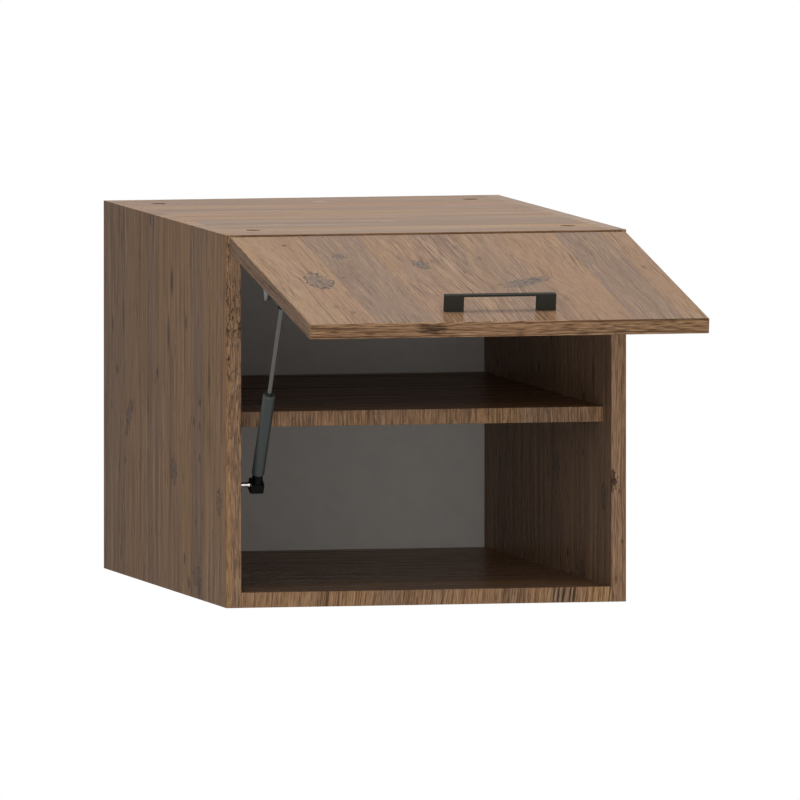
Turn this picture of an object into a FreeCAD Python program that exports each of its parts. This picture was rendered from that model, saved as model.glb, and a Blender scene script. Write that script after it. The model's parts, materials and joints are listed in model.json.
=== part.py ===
import FreeCAD, Part
import math
import os
import re
import Sketcher

# Wall cabinet with a flap door, shown open on its gas strut.
# Millimetres, +Z up, front towards -Y, origin on the wall plane at the middle of the underside.

Vector = FreeCAD.Vector

# Driving sizes: alias, value, meaning
SIZES = [
    ("cabinet_width", 400, "outer width of the carcass"),
    ("cabinet_height", 364, "outer height of the carcass"),
    ("carcass_depth", 552, "front edge to wall plane"),
    ("board", 15, "thickness of the carcass boards"),
    ("edge_band", 1, "thickness of the edge bands"),
    ("edge_round", 0.8, "rounding of the bands' outer edges"),
    ("back_thickness", 3, "thickness of the back panel"),
    ("back_recess", 1, "back panel behind the rear edges"),
    ("rebate_lap", 7, "width of the rebate that holds the back panel"),
    ("back_play", 0.5, "play round the back panel"),
    ("shelf_level", 174, "underside of the shelf above the underside of the cabinet"),
    ("shelf_thickness", 15, "thickness of the shelf"),
    ("shelf_setback", 34, "front of the shelf behind the front edge"),
    ("shelf_play", 0.5, "play of the shelf to the sides and the back"),
    ("pin_radius", 2.5, "radius of a shelf pin's shank"),
    ("pin_shank", 8, "length of a shelf pin in the side panel"),
    ("pin_peg", 9, "length of a shelf pin under the shelf"),
    ("pin_setback", 105, "shelf pins from the front and rear edges of the shelf"),
    ("drill_play", 0.1, "radial play of a fixed piece in its drilled hole"),
    ("cam_radius", 7.4, "radius of a cam lock"),
    ("cam_height", 11, "height of a cam lock"),
    ("cam_sink", 1, "cam lock below the face of its board"),
    ("cam_inset", 27.5, "cam centre from the end of its board"),
    ("cam_front", 70, "front cams behind the front edge"),
    ("cam_rear", 60, "rear cams in front of the wall plane"),
    ("cam_slot", 1.6, "width of the cross slot in a cam"),
    ("cam_slot_span", 8, "length of the cross slot in a cam"),
    ("cam_slot_depth", 2, "depth of the cross slot in a cam"),
    ("bolt_thread_radius", 2.4, "radius of a connecting bolt's thread"),
    ("bolt_thread", 10, "thread of a connecting bolt in the side panel"),
    ("bolt_radius", 2, "radius of a connecting bolt's neck"),
    ("bolt_head_radius", 3.2, "radius of a connecting bolt's head and collar"),
    ("bolt_head", 3, "length of a connecting bolt's head"),
    ("bolt_bore_radius", 3.6, "bore for the connecting bolt in the board's end and the cam"),
    ("dowel_radius", 3.9, "radius of a wooden dowel"),
    ("dowel_length", 30, "length of a wooden dowel"),
    ("dowel_socket", 11, "dowel in the side panel"),
    ("dowel_offset", 32, "dowel from its cam lock"),
    ("flap_thickness", 15, "thickness of the flap"),
    ("side_reveal", 2, "flap short of the carcass at each side"),
    ("top_reveal", 2, "flap short of the carcass at the top"),
    ("bottom_reveal", 4, "flap short of the carcass at the bottom"),
    ("front_gap", 2.5, "gap between carcass and closed flap"),
    ("open_angle", 80, "opening angle of the flap"),
    ("pivot_depth", 9, "hinge axis from the flap's inner face"),
    ("pivot_drop", 6.6, "hinge axis below the flap's top edge"),
    ("hinge_inset", 75, "hinge centre from the outer side of the cabinet"),
    ("cup_radius", 17.4, "outer radius of the hinge cup"),
    ("cup_depth", 12.1, "depth of the hinge cup"),
    ("cup_wall", 1.2, "wall of the hinge cup"),
    ("cup_floor", 0.8, "floor of the hinge cup"),
    ("cup_inset", 20, "cup centre below the flap's top edge"),
    ("rim_width", 0.8, "cup rim on the flap's face beyond the cup"),
    ("rim_thickness", 1, "thickness of the rim and its wings"),
    ("wing_span", 58, "length of the two wings of the cup's rim"),
    ("wing_width", 12, "width of the wings"),
    ("cup_screw_spacing", 45, "distance between the two screws of a cup"),
    ("cup_screw_offset", 9.5, "cup screws below the cup's centre"),
    ("hinge_pin_radius", 1, "radius of the hinge pin"),
    ("hinge_pin_fit", 0.05, "running clearance of the hinge pin"),
    ("press_play", 0.02, "clearance of a pressed-in pin"),
    ("knuckle_radius", 1.9, "radius of the arm's knuckle"),
    ("neck_width", 8, "width of the arm's neck"),
    ("neck_thickness", 2.5, "thickness of the arm's neck"),
    ("neck_drop", 11.25, "neck's run below the hinge axis"),
    ("lug_gap", 0.5, "gap between neck and pin lugs"),
    ("lug_width", 3, "width of a pin lug in the cup"),
    ("lug_wall", 1, "lug above the pin"),
    ("arm_start", 2.5, "arm body behind the carcass front"),
    ("arm_length", 54, "length of the arm body"),
    ("arm_width", 16, "width of the arm body"),
    ("arm_height", 6.5, "height of the arm body"),
    ("arm_round", 2, "rounding of the arm body's lower edges"),
    ("plate_thickness", 2, "thickness of the hinge plate"),
    ("plate_setback", 20, "hinge plate behind the carcass front"),
    ("plate_length", 32, "length of the hinge plate"),
    ("plate_spine", 18, "width of the hinge plate's spine"),
    ("plate_wing_span", 46, "span of the hinge plate's wings"),
    ("plate_wing_width", 13, "width of the hinge plate's wings"),
    ("plate_screw_spacing", 32, "distance between the two screws of a plate"),
    ("screw_radius", 1.7, "radius of a wood screw's shank"),
    ("screw_length", 11, "wood screw in the board"),
    ("screw_head_radius", 3.2, "radius of a wood screw's head"),
    ("screw_head", 1.7, "height of a wood screw's head"),
    ("handle_length", 110, "overall length of the handle"),
    ("handle_height", 16.5, "handle's reach from the flap"),
    ("handle_depth", 7.5, "depth of the handle along the flap"),
    ("handle_foot", 18.5, "width of a handle foot"),
    ("handle_bar", 2, "thickness of the handle bar"),
    ("handle_round", 0.5, "rounding of the handle's corners"),
    ("handle_screw_inset", 7, "handle screw from the handle's end"),
    ("handle_inset", 45, "handle centre from the flap's free edge"),
    ("handle_screw_radius", 1.9, "radius of a handle screw"),
    ("handle_screw_grip", 9, "handle screw in the handle"),
    ("handle_screw_head_radius", 4, "radius of a handle screw's head"),
    ("handle_screw_head", 2.4, "height of a handle screw's head"),
    ("bumper_radius", 4, "radius of a door bumper"),
    ("bumper_height", 2.2, "height of a door bumper"),
    ("bumper_inset", 30, "bumper from the flap's free edge"),
    ("stud_setback", 19.6, "lower ball stud behind the front edge"),
    ("stud_drop", 245, "lower ball stud below the top of the cabinet"),
    ("stud_stand", 19.3, "ball centre from the side panel"),
    ("stud_radius", 2.2, "radius of a ball stud's shank"),
    ("stud_thread", 10, "ball stud's thread in the side panel"),
    ("stud_foot_radius", 5, "radius of a ball stud's foot"),
    ("stud_foot", 2, "thickness of a ball stud's foot"),
    ("stud_collar_radius", 3.2, "radius of the collar below the ball"),
    ("stud_collar", 1.6, "thickness of the collar below the ball"),
    ("ball_radius", 4, "radius of a ball"),
    ("ball_fit", 0.15, "clearance of a ball in its socket"),
    ("socket_radius", 6.5, "half the width of a ball socket"),
    ("socket_end", 7.5, "ball socket beyond the ball's centre"),
    ("upper_socket_end", 5.8, "upper socket beyond its ball's centre"),
    ("socket_waist", 3.5, "straight part of a socket on the strut's side"),
    ("socket_neck", 12.7, "ball's centre to the strut"),
    ("socket_neck_radius", 4.8, "radius of a socket where it meets the strut"),
    ("socket_chamfer", 1.4, "chamfer at the socket's end"),
    ("tube_radius", 6.2, "outer radius of the strut's cylinder"),
    ("tube_wall", 1.1, "wall of the strut's cylinder"),
    ("tube_floor", 2, "floor of the strut's cylinder"),
    ("tube_crimp", 1.2, "rolled end of the strut's cylinder"),
    ("guide_length", 5, "length of the rod guide"),
    ("piston_height", 3, "height of the piston"),
    ("strut_play", 0.4, "play at the ends of the stroke and round inner pieces"),
    ("slide_fit", 0.06, "sliding clearance of the rod"),
    ("rod_radius", 2.25, "radius of the strut's rod"),
    ("bracket_reach", 20, "upper ball from the flap's inner face"),
    ("bracket_drop", 102, "upper ball below the flap's top edge"),
    ("bracket_sheet", 1.5, "sheet thickness of the flap bracket"),
    ("bracket_base", 10.5, "width of the bracket's base"),
    ("bracket_length", 38, "length of the bracket's base"),
    ("bracket_tip", 3.6, "ear's end beyond the ball's centre, also its half width"),
    ("bracket_side_play", 1, "bracket to the side panel with the flap closed"),
    ("bracket_screw_spacing", 26, "distance between the bracket's screws"),
    ("stud_gap", 0.3, "clearance between bracket ear and upper stud"),
    ("hanger_width", 18, "thickness of a hanger housing"),
    ("hanger_depth", 50, "depth of a hanger housing"),
    ("hanger_height", 42, "height of a hanger housing"),
    ("hanger_drop", 6, "hanger housing below the top panel"),
    ("hanger_gap", 0.3, "hanger housing to the back panel"),
    ("hanger_round", 3, "rounding of a hanger housing"),
    ("hook_width", 12, "width of a hanger hook"),
    ("hook_thickness", 2, "thickness of a hanger hook"),
    ("hook_drop", 10, "hook below the top of its housing"),
    ("hook_grip", 26, "hook inside its housing"),
    ("hook_lip", 13, "height of the hook's lip"),
    ("hook_play", 0.2, "play of the hook in its housing"),
    ("window_margin", 4, "window in the back panel round the hook"),
    ("hanger_screw_spacing", 32, "distance between the screws of a hanger"),
    ("adjuster_radius", 3.5, "radius of the holes for the hanger's adjusting screws"),
    ("adjuster_depth", 12, "depth of those holes"),
]

# Values worked out from the driving sizes
WORKED_OUT = {
    "half_width": "cabinet_width / 2",
    "inner_left": "board - half_width",
    "board_front": "edge_band - carcass_depth",
    "top_underside": "cabinet_height - board",
    "rebate_depth": "back_thickness + back_recess",
    "shelf_half": "half_width - board - shelf_play",
    "shelf_front": "shelf_setback - carcass_depth",
    "shelf_rear": "-rebate_depth - shelf_play",
    "shelf_top": "shelf_level + shelf_thickness",
    "cam_x": "inner_left + cam_inset",
    "cam_front_y": "cam_front - carcass_depth",
    "cam_rear_y": "-cam_rear",
    "joint_z": "cabinet_height - board / 2",
    "flap_half": "half_width - side_reveal",
    "flap_bottom": "pivot_drop - cabinet_height + top_reveal + bottom_reveal",
    "flap_outer": "pivot_depth - flap_thickness",
    "hinge_y": "-carcass_depth - front_gap - pivot_depth",
    "hinge_z": "cabinet_height - top_reveal - pivot_drop",
    "hinge_x": "half_width - hinge_inset",
    "cup_z": "pivot_drop - cup_inset",
    "pivot_to_cup": "cup_inset - pivot_drop",
    "arm_top": "cabinet_height - board - plate_thickness - hinge_z",
    "arm_front": "front_gap + pivot_depth + arm_start",
    "plate_front": "plate_setback - carcass_depth",
    "plate_middle": "plate_front + plate_length / 2",
    "handle_z": "flap_bottom + handle_inset",
    "handle_spacing": "(handle_length - 2 * handle_screw_inset)",
    "handle_top": "flap_outer - handle_height",
    "bracket_y": "pivot_depth + bracket_reach",
    "bracket_z": "pivot_drop - bracket_drop",
    "ear_x": "inner_left + bracket_side_play",
    "strut_x": "inner_left + stud_stand",
    "stud_y": "stud_setback - carcass_depth",
    "stud_level": "cabinet_height - stud_drop",
    "ball_y": "hinge_y + bracket_y * cos(open_angle) + bracket_z * sin(open_angle)",
    "ball_z": "hinge_z - bracket_y * sin(open_angle) + bracket_z * cos(open_angle)",
    "strut_run": "stud_y - ball_y",
    "strut_rise": "ball_z - stud_level",
    "strut_lean": "atan(strut_run / strut_rise)",
    "strut_open": "sqrt(strut_run ^ 2 + strut_rise ^ 2)",
    "closed_run": "stud_y - hinge_y - bracket_y",
    "closed_rise": "hinge_z + bracket_z - stud_level",
    "strut_stroke": "strut_open - sqrt(closed_run ^ 2 + closed_rise ^ 2)",
    "tube_bore": "tube_radius - tube_wall",
    "piston_base": "socket_neck + tube_floor + strut_play + strut_stroke",
    "guide_base": "piston_base + piston_height + strut_play",
    "tube_top": "guide_base + guide_length + strut_play",
    "hanger_rear": "-rebate_depth - hanger_gap",
    "hanger_top": "top_underside - hanger_drop",
    "hanger_middle": "hanger_top - hanger_height / 2",
    "hanger_middle_y": "hanger_rear - hanger_depth / 2",
    "hook_top": "hanger_top - hook_drop",
    "hook_x": "inner_left + hanger_width / 2",
}

document = FreeCAD.newDocument("flap_cabinet")
sheet = document.addObject("Spreadsheet::Sheet", "Sizes")
for row, (alias, value, meaning) in enumerate(SIZES, start=1):
    sheet.set(f"A{row}", meaning)
    sheet.set(f"B{row}", str(value))
    sheet.setAlias(f"B{row}", alias)
document.recompute()
ALIASES = {alias for alias, value, meaning in SIZES}

# The sub-parts in the order they are made
NODES = []


def formula(text):
    """The text with every size named through the sheet and every worked-out value spelled out."""
    def spelled_out(match):
        word = match.group(0)
        if word in WORKED_OUT:
            return f"({formula(WORKED_OUT[word])})"
        if word in ALIASES:
            return f"Sizes.{word}"
        return word
    return re.sub(r"[a-z_]+", spelled_out, str(text))


def bind(item, path, text):
    item.setExpression(path, formula(text))


def node(item, label):
    """Marks an object as a finished sub-part under its own name."""
    item.Label = label
    NODES.append(item)
    return item


# Placing

def place(item, x, y, z, axis=Vector(1, 0, 0), angle=0):
    item.Placement = FreeCAD.Placement(Vector(0, 0, 0), FreeCAD.Rotation(axis, 1))
    bind(item, "Placement.Rotation.Angle", angle)
    bind(item, "Placement.Base.x", x)
    bind(item, "Placement.Base.y", y)
    bind(item, "Placement.Base.z", z)
    return item


def place_on_flap(item, x="0", y="0", z="0", turn="0"):
    """Puts a piece at a point of the closed flap's frame and swings it open about the hinge axis."""
    swung_y = f"hinge_y + ({y}) * cos(open_angle) + ({z}) * sin(open_angle)"
    swung_z = f"hinge_z - ({y}) * sin(open_angle) + ({z}) * cos(open_angle)"
    return place(item, x, swung_y, swung_z, Vector(-1, 0, 0), f"open_angle + {turn}")


def place_on_strut(item):
    return place(item, "strut_x", "stud_y", "stud_level", Vector(1, 0, 0), "strut_lean")


# Solids of the Part kind

TOWARDS = {
    "+x": FreeCAD.Rotation(Vector(0, 1, 0), 90),
    "-x": FreeCAD.Rotation(Vector(0, 1, 0), -90),
    "+y": FreeCAD.Rotation(Vector(1, 0, 0), -90),
    "+z": FreeCAD.Rotation(Vector(1, 0, 0), 0),
    "-z": FreeCAD.Rotation(Vector(1, 0, 0), 180),
}


def block(name, low, high):
    box = document.addObject("Part::Box", name)
    for size, axis, start, end in zip(("Length", "Width", "Height"), "xyz", low, high):
        bind(box, size, f"({end}) - ({start})")
        bind(box, f"Placement.Base.{axis}", start)
    return box


def bore(name, x, y, z, towards, radius, length):
    rod = document.addObject("Part::Cylinder", name)
    rod.Placement = FreeCAD.Placement(Vector(0, 0, 0), TOWARDS[towards])
    bind(rod, "Radius", radius)
    bind(rod, "Height", length)
    for axis, start in zip("xyz", (x, y, z)):
        bind(rod, f"Placement.Base.{axis}", start)
    return rod


def cut(name, base, tools):
    result = document.addObject("Part::Cut", name)
    result.Base = base
    result.Tool = tools[0]
    if len(tools) > 1:
        result.Tool = document.addObject("Part::MultiFuse", f"{name}_tools")
        result.Tool.Shapes = tools
    return result


def group(name, members):
    result = document.addObject("Part::Compound", name)
    result.Links = members
    return result


def mirrored(name, source, normal=Vector(1, 0, 0), level=None):
    result = document.addObject("Part::Mirroring", name)
    result.Source = source
    result.Normal = normal
    if level is not None:
        bind(result, "Base.z", level)
    return result


def both_sides(name, members):
    """The left-hand members together with their mirror images on the right."""
    left = group(f"{name}_of_the_left", members)
    return group(name, [left, mirrored(f"{name}_of_the_right", left)])


# Sketches and features of the PartDesign kind

def new_body(name):
    return document.addObject("PartDesign::Body", name)


def sketch_on(body, role, level="0"):
    sketch = body.newObject("Sketcher::SketchObject", f"{body.Name}_sketch")
    plane = [feature for feature in body.Origin.OriginFeatures if feature.Role == role][0]
    sketch.AttachmentSupport = [(plane, "")]
    sketch.MapMode = "FlatFace"
    bind(sketch, "AttachmentOffset.Base.z", level)
    return sketch


def fix_point(sketch, geometry, corner, start, x, y):
    for kind, value, text in (("DistanceX", start.x, x), ("DistanceY", start.y, y)):
        number = sketch.addConstraint(Sketcher.Constraint(kind, -1, 1, geometry, corner, value))
        sketch.renameConstraint(number, f"{kind}{geometry}")
        bind(sketch, f"Constraints.{kind}{geometry}", text)


def outline(sketch, points):
    """A closed outline of straight lines through points given as formulas."""
    count = len(points)
    first = sketch.GeometryCount
    turns = [2 * math.pi * number / count for number in range(count)]
    starts = [Vector(math.cos(turn), math.sin(turn), 0) for turn in turns]
    for number, start in enumerate(starts):
        sketch.addGeometry(Part.LineSegment(start, starts[(number + 1) % count]))
    for number in range(count):
        following = first + (number + 1) % count
        sketch.addConstraint(Sketcher.Constraint("Coincident", first + number, 2, following, 1))
    for number, (x, y) in enumerate(points):
        fix_point(sketch, first + number, 1, starts[number], x, y)


def rectangle(sketch, x_low, y_low, x_high, y_high):
    outline(sketch, [(x_low, y_low), (x_high, y_low), (x_high, y_high), (x_low, y_high)])


def circle(sketch, x, y, radius):
    start = Vector(1, 1, 0)
    number = sketch.addGeometry(Part.Circle(start, Vector(0, 0, 1), 1))
    fix_point(sketch, number, 3, start, x, y)
    size = sketch.addConstraint(Sketcher.Constraint("Radius", number, 1))
    sketch.renameConstraint(size, f"Radius{number}")
    bind(sketch, f"Constraints.Radius{number}", radius)


def pad(body, sketch, length, both_ways=False):
    feature = body.newObject("PartDesign::Pad", f"{body.Name}_pad")
    feature.Profile = sketch
    feature.Midplane = both_ways
    bind(feature, "Length", length)
    return feature


def pocket(body, sketch, length, along_normal=False, both_ways=False):
    """Cuts against the sketch's normal, or along it, or both ways."""
    feature = body.newObject("PartDesign::Pocket", f"{body.Name}_pocket")
    feature.Profile = sketch
    feature.Reversed = along_normal
    feature.Midplane = both_ways
    bind(feature, "Length", length)
    document.recompute()
    removed = feature.BaseFeature.Shape.Volume - feature.Shape.Volume
    if removed < 0.1:
        raise RuntimeError(f"{body.Label}: a pocket cuts nothing")
    return feature


def round_edges(body, chosen, radius):
    """Rounds the edges of the tip for which chosen(edge) holds."""
    document.recompute()
    tip = body.Tip
    names = [f"Edge{number}" for number, edge in enumerate(tip.Shape.Edges, start=1) if chosen(edge)]
    feature = body.newObject("PartDesign::Fillet", f"{body.Name}_fillet")
    feature.Base = (tip, names)
    bind(feature, "Radius", radius)
    return feature


def turn(body, profile):
    """Adds a profile turned about the body's own Z axis; its points are (radius, height)."""
    sketch = sketch_on(body, "XZ_Plane")
    outline(sketch, profile)
    feature = body.newObject("PartDesign::Revolution", f"{body.Name}_turn")
    feature.Profile = sketch
    feature.ReferenceAxis = (sketch, ["V_Axis"])
    feature.Angle = 360


def turned(name, profile):
    """A body of revolution about its own Z axis."""
    body = new_body(name)
    turn(body, profile)
    return body


def bar(name, low, high):
    """A body with six flat faces, from its lowest to its highest corner."""
    body = new_body(name)
    sketch = sketch_on(body, "XY_Plane", low[2])
    rectangle(sketch, low[0], low[1], high[0], high[1])
    pad(body, sketch, f"({high[2]}) - ({low[2]})")
    return body


def runs_along(edge, axis):
    """True for a straight edge along the axis."""
    line = edge.lastVertex().Point - edge.firstVertex().Point
    straight = edge.Curve.TypeId == "Part::GeomLine"
    return straight and abs(line[axis]) > 0.999 * line.Length


def banded(body, along, outward, sign):
    """Rounds the two long edges of a band's outer face."""
    document.recompute()
    box = body.Shape.BoundBox
    limits = {(0, 1): box.XMax, (0, -1): box.XMin, (1, 1): box.YMax, (1, -1): box.YMin,
              (2, 1): box.ZMax, (2, -1): box.ZMin}
    limit = limits[(outward, sign)]

    def outer(edge):
        return runs_along(edge, along) and abs(edge.CenterOfMass[outward] - limit) < 0.01

    round_edges(body, outer, "edge_round")
    return body


# Carcass boards

def cam_places():
    """The two joints of a board's end: front and rear."""
    return (("front", "cam_front_y", 1), ("rear", "cam_rear_y", -1))


def side_panels():
    panel = block("side_blank", ("-half_width", "board_front", "0"), ("inner_left", "0", "cabinet_height"))
    tools = [block("side_rebate", ("inner_left - rebate_lap", "-rebate_depth", "board - rebate_lap"),
                   ("inner_left", "0", "top_underside + rebate_lap"))]
    for end, y, inward in cam_places():
        for level, z in (("top", "joint_z"), ("bottom", "board / 2")):
            tools.append(bore(f"side_bolt_bore_{end}_{level}", "inner_left", y, z, "-x",
                              "bolt_thread_radius + drill_play", "bolt_thread + drill_play"))
            tools.append(bore(f"side_dowel_bore_{end}_{level}", "inner_left",
                              f"{y} + {inward} * dowel_offset", z, "-x",
                              "dowel_radius + drill_play", "dowel_socket + drill_play"))
    for end, y in (("front", "shelf_front + pin_setback"), ("rear", "shelf_rear - pin_setback")):
        tools.append(bore(f"side_pin_bore_{end}", "inner_left", y, "shelf_level - pin_radius", "-x",
                          "pin_radius + drill_play", "pin_shank + drill_play"))
    for end in ("-", "+"):
        tools.append(bore("side_hanger_bore", "inner_left",
                          f"hanger_middle_y {end} hanger_screw_spacing / 2", "hanger_middle", "-x",
                          "screw_radius + drill_play", "screw_length + drill_play"))
    plain = cut("side_plain", panel, tools)
    stud = bore("side_stud_bore", "inner_left", "stud_y", "stud_level", "-x",
                "stud_radius + drill_play", "stud_thread + drill_play")
    node(cut("side_panel_left", plain, [stud]), "side_panel_left")
    node(mirrored("side_panel_right", plain), "side_panel_right")


def top_and_bottom_panels():
    panel = block("top_blank", ("inner_left", "board_front", "top_underside"),
                  ("-inner_left", "0", "cabinet_height"))
    tools = [block("top_rebate", ("inner_left", "-rebate_depth", "top_underside"),
                   ("-inner_left", "0", "top_underside + rebate_lap"))]
    for end, y, inward in cam_places():
        for side, sign, towards in (("left", "", "+x"), ("right", "-", "-x")):
            tools.append(bore(f"top_cam_bore_{end}_{side}", f"{sign}cam_x", y, "cabinet_height", "-z",
                              "cam_radius + drill_play", "cam_sink + cam_height + drill_play"))
            tools.append(bore(f"top_bolt_bore_{end}_{side}", f"{sign}inner_left", y, "joint_z", towards,
                              "bolt_bore_radius", "cam_inset"))
            tools.append(bore(f"top_dowel_bore_{end}_{side}", f"{sign}inner_left",
                              f"{y} + {inward} * dowel_offset", "joint_z", towards,
                              "dowel_radius + drill_play", "dowel_length - dowel_socket + drill_play"))
    plain = cut("top_plain", panel, tools)
    screw_bores = []
    for side, sign in (("left", "-"), ("right", "")):
        for end in ("-", "+"):
            screw_bores.append(bore(f"top_screw_bore_{side}",
                                    f"{sign}hinge_x {end} plate_screw_spacing / 2", "plate_middle",
                                    "top_underside", "+z", "screw_radius + drill_play",
                                    "screw_length + drill_play"))
    node(cut("top_panel", plain, screw_bores), "top_panel")
    node(mirrored("bottom_panel", plain, Vector(0, 0, 1), "cabinet_height / 2"), "bottom_panel")


def back_panel():
    reach = "(rebate_lap - back_play)"
    panel = block("back_blank", (f"inner_left - {reach}", "-rebate_depth", f"board - {reach}"),
                  (f"-inner_left + {reach}", "-back_recess", f"top_underside + {reach}"))
    windows = []
    for side, sign in (("left", ""), ("right", "-")):
        half = "(hook_width / 2 + window_margin)"
        windows.append(block(f"back_window_{side}",
                             (f"{sign}hook_x - {half}", "-rebate_depth",
                              "hook_top - hook_lip - window_margin"),
                             (f"{sign}hook_x + {half}", "0", "hook_top + window_margin")))
    node(cut("back_panel", panel, windows), "back_panel")


def shelf():
    node(block("shelf", ("-shelf_half", "shelf_front + edge_band", "shelf_level"),
               ("shelf_half", "shelf_rear", "shelf_top")), "shelf")


def carcass_bands():
    left = banded(bar("side_edge_band_left", ("-half_width", "-carcass_depth", "0"),
                      ("inner_left", "board_front", "cabinet_height")), 2, 1, -1)
    node(left, "side_edge_band_left")
    node(mirrored("side_edge_band_right", left), "side_edge_band_right")
    top = banded(bar("top_edge_band", ("inner_left", "-carcass_depth", "top_underside"),
                     ("-inner_left", "board_front", "cabinet_height")), 0, 1, -1)
    node(top, "top_edge_band")
    node(mirrored("bottom_edge_band", top, Vector(0, 0, 1), "cabinet_height / 2"), "bottom_edge_band")
    node(banded(bar("shelf_edge_band", ("-shelf_half", "shelf_front", "shelf_level"),
                    ("shelf_half", "shelf_front + edge_band", "shelf_top")), 0, 1, -1), "shelf_edge_band")


# Fittings that hold the carcass together

def cam_locks():
    """Cams with a cross slot, open towards the board's end for the bolt's head."""
    cams = []
    arm = "cam_slot / 2"
    span = "cam_slot_span / 2"
    for end, y, inward in cam_places():
        cam = turned(f"cam_{end}", [("0", "-cam_height"), ("cam_radius", "-cam_height"),
                                    ("cam_radius", "0"), ("0", "0")])
        slot = sketch_on(cam, "XY_Plane")
        outline(slot, [(f"-({span})", f"-({arm})"), (f"-({arm})", f"-({arm})"), (f"-({arm})", f"-({span})"),
                       (arm, f"-({span})"), (arm, f"-({arm})"), (span, f"-({arm})"),
                       (span, arm), (arm, arm), (arm, span),
                       (f"-({arm})", span), (f"-({arm})", arm), (f"-({span})", arm)])
        pocket(cam, slot, "cam_slot_depth")
        mouth = sketch_on(cam, "YZ_Plane")
        circle(mouth, "0", "cam_sink - board / 2", "bolt_bore_radius")
        pocket(cam, mouth, "cam_radius")
        cams.append(place(cam, "cam_x", y, "cabinet_height - cam_sink"))
    top = node(both_sides("cam_locks_top", cams), "cam_locks_top")
    node(mirrored("cam_locks_bottom", top, Vector(0, 0, 1), "cabinet_height / 2"), "cam_locks_bottom")


def at_all_corners(name, members):
    """Left-hand top members repeated on the right and at the bottom."""
    top = both_sides(f"{name}_of_the_top", members)
    bottom = mirrored(f"{name}_of_the_bottom", top, Vector(0, 0, 1), "cabinet_height / 2")
    node(group(name, [top, bottom]), name)


def connecting_bolts():
    bolts = []
    for end, y, inward in cam_places():
        bolt = turned(f"bolt_{end}", [
            ("0", "-bolt_thread"), ("bolt_thread_radius", "-bolt_thread"), ("bolt_thread_radius", "0"),
            ("bolt_head_radius", "0"), ("bolt_head_radius", "bolt_head / 2"),
            ("bolt_radius", "bolt_head / 2"),
            ("bolt_radius", "cam_inset - bolt_head - drill_play"),
            ("bolt_head_radius", "cam_inset - bolt_head - drill_play"),
            ("bolt_head_radius", "cam_inset - drill_play"), ("0", "cam_inset - drill_play")])
        bolts.append(place(bolt, "inner_left", y, "joint_z", Vector(0, 1, 0), "90"))
    at_all_corners("connecting_bolts", bolts)


def wood_dowels():
    dowels = []
    for end, y, inward in cam_places():
        dowels.append(bore(f"dowel_{end}", "inner_left - dowel_socket", f"{y} + {inward} * dowel_offset",
                           "joint_z", "+x", "dowel_radius", "dowel_length"))
    at_all_corners("wood_dowels", dowels)


def shelf_pins():
    """Pins whose peg is cut flat where the shelf lies on it."""
    pins = []
    for end, y in (("front", "shelf_front + pin_setback"), ("rear", "shelf_rear - pin_setback")):
        collar = "pin_radius * 1.5"
        pin = turned(f"shelf_pin_{end}", [
            ("0", "-pin_shank"), ("pin_radius", "-pin_shank"), ("pin_radius", "0"), (collar, "0"),
            (collar, "pin_peg"), ("0", "pin_peg")])
        flat = sketch_on(pin, "YZ_Plane", "-pin_radius")
        rectangle(flat, "-pin_radius * 2", "0", "pin_radius * 2", "pin_peg")
        pocket(pin, flat, "pin_radius")
        pins.append(place(pin, "inner_left", y, "shelf_level - pin_radius", Vector(0, 1, 0), "90"))
    node(both_sides("shelf_pins", pins), "shelf_pins")


# Flap

def flap_panel():
    panel = new_body("flap_panel")
    face = sketch_on(panel, "XZ_Plane", "-pivot_depth")
    rectangle(face, "edge_band - flap_half", "flap_bottom + edge_band", "flap_half - edge_band",
              "pivot_drop - edge_band")
    pad(panel, face, "flap_thickness")
    cups = sketch_on(panel, "XZ_Plane", "-pivot_depth")
    for sign in ("-", ""):
        circle(cups, f"{sign}hinge_x", "cup_z", "cup_radius + drill_play")
    pocket(panel, cups, "cup_depth + drill_play", along_normal=True)
    screws = sketch_on(panel, "XZ_Plane", "-pivot_depth")
    for sign in ("-", ""):
        for end in ("-", "+"):
            circle(screws, f"{sign}hinge_x {end} cup_screw_spacing / 2", "cup_z - cup_screw_offset",
                   "screw_radius + drill_play")
    for end in ("-", "+"):
        circle(screws, "ear_x + bracket_sheet + (bracket_base - bracket_sheet) / 2",
               f"bracket_z {end} bracket_screw_spacing / 2", "screw_radius + drill_play")
    pocket(panel, screws, "screw_length + drill_play", along_normal=True)
    handle_holes = sketch_on(panel, "XZ_Plane", "-pivot_depth")
    for sign in ("-", ""):
        circle(handle_holes, f"{sign}handle_spacing / 2", "handle_z", "handle_screw_radius + drill_play")
    pocket(panel, handle_holes, "flap_thickness", along_normal=True)
    node(place_on_flap(panel), "flap_panel")


def flap_bands():
    left = banded(bar("flap_edge_band_left", ("-flap_half", "flap_outer", "flap_bottom"),
                      ("edge_band - flap_half", "pivot_depth", "pivot_drop")), 2, 0, -1)
    node(place_on_flap(left), "flap_edge_band_left")
    node(mirrored("flap_edge_band_right", left), "flap_edge_band_right")
    inside = "(flap_half - edge_band)"
    top = banded(bar("flap_edge_band_top", (f"-{inside}", "flap_outer", "pivot_drop - edge_band"),
                     (inside, "pivot_depth", "pivot_drop")), 0, 2, 1)
    node(place_on_flap(top), "flap_edge_band_top")
    bottom = banded(bar("flap_edge_band_bottom", (f"-{inside}", "flap_outer", "flap_bottom"),
                        (inside, "pivot_depth", "flap_bottom + edge_band")), 0, 2, -1)
    node(place_on_flap(bottom), "flap_edge_band_bottom")


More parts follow.
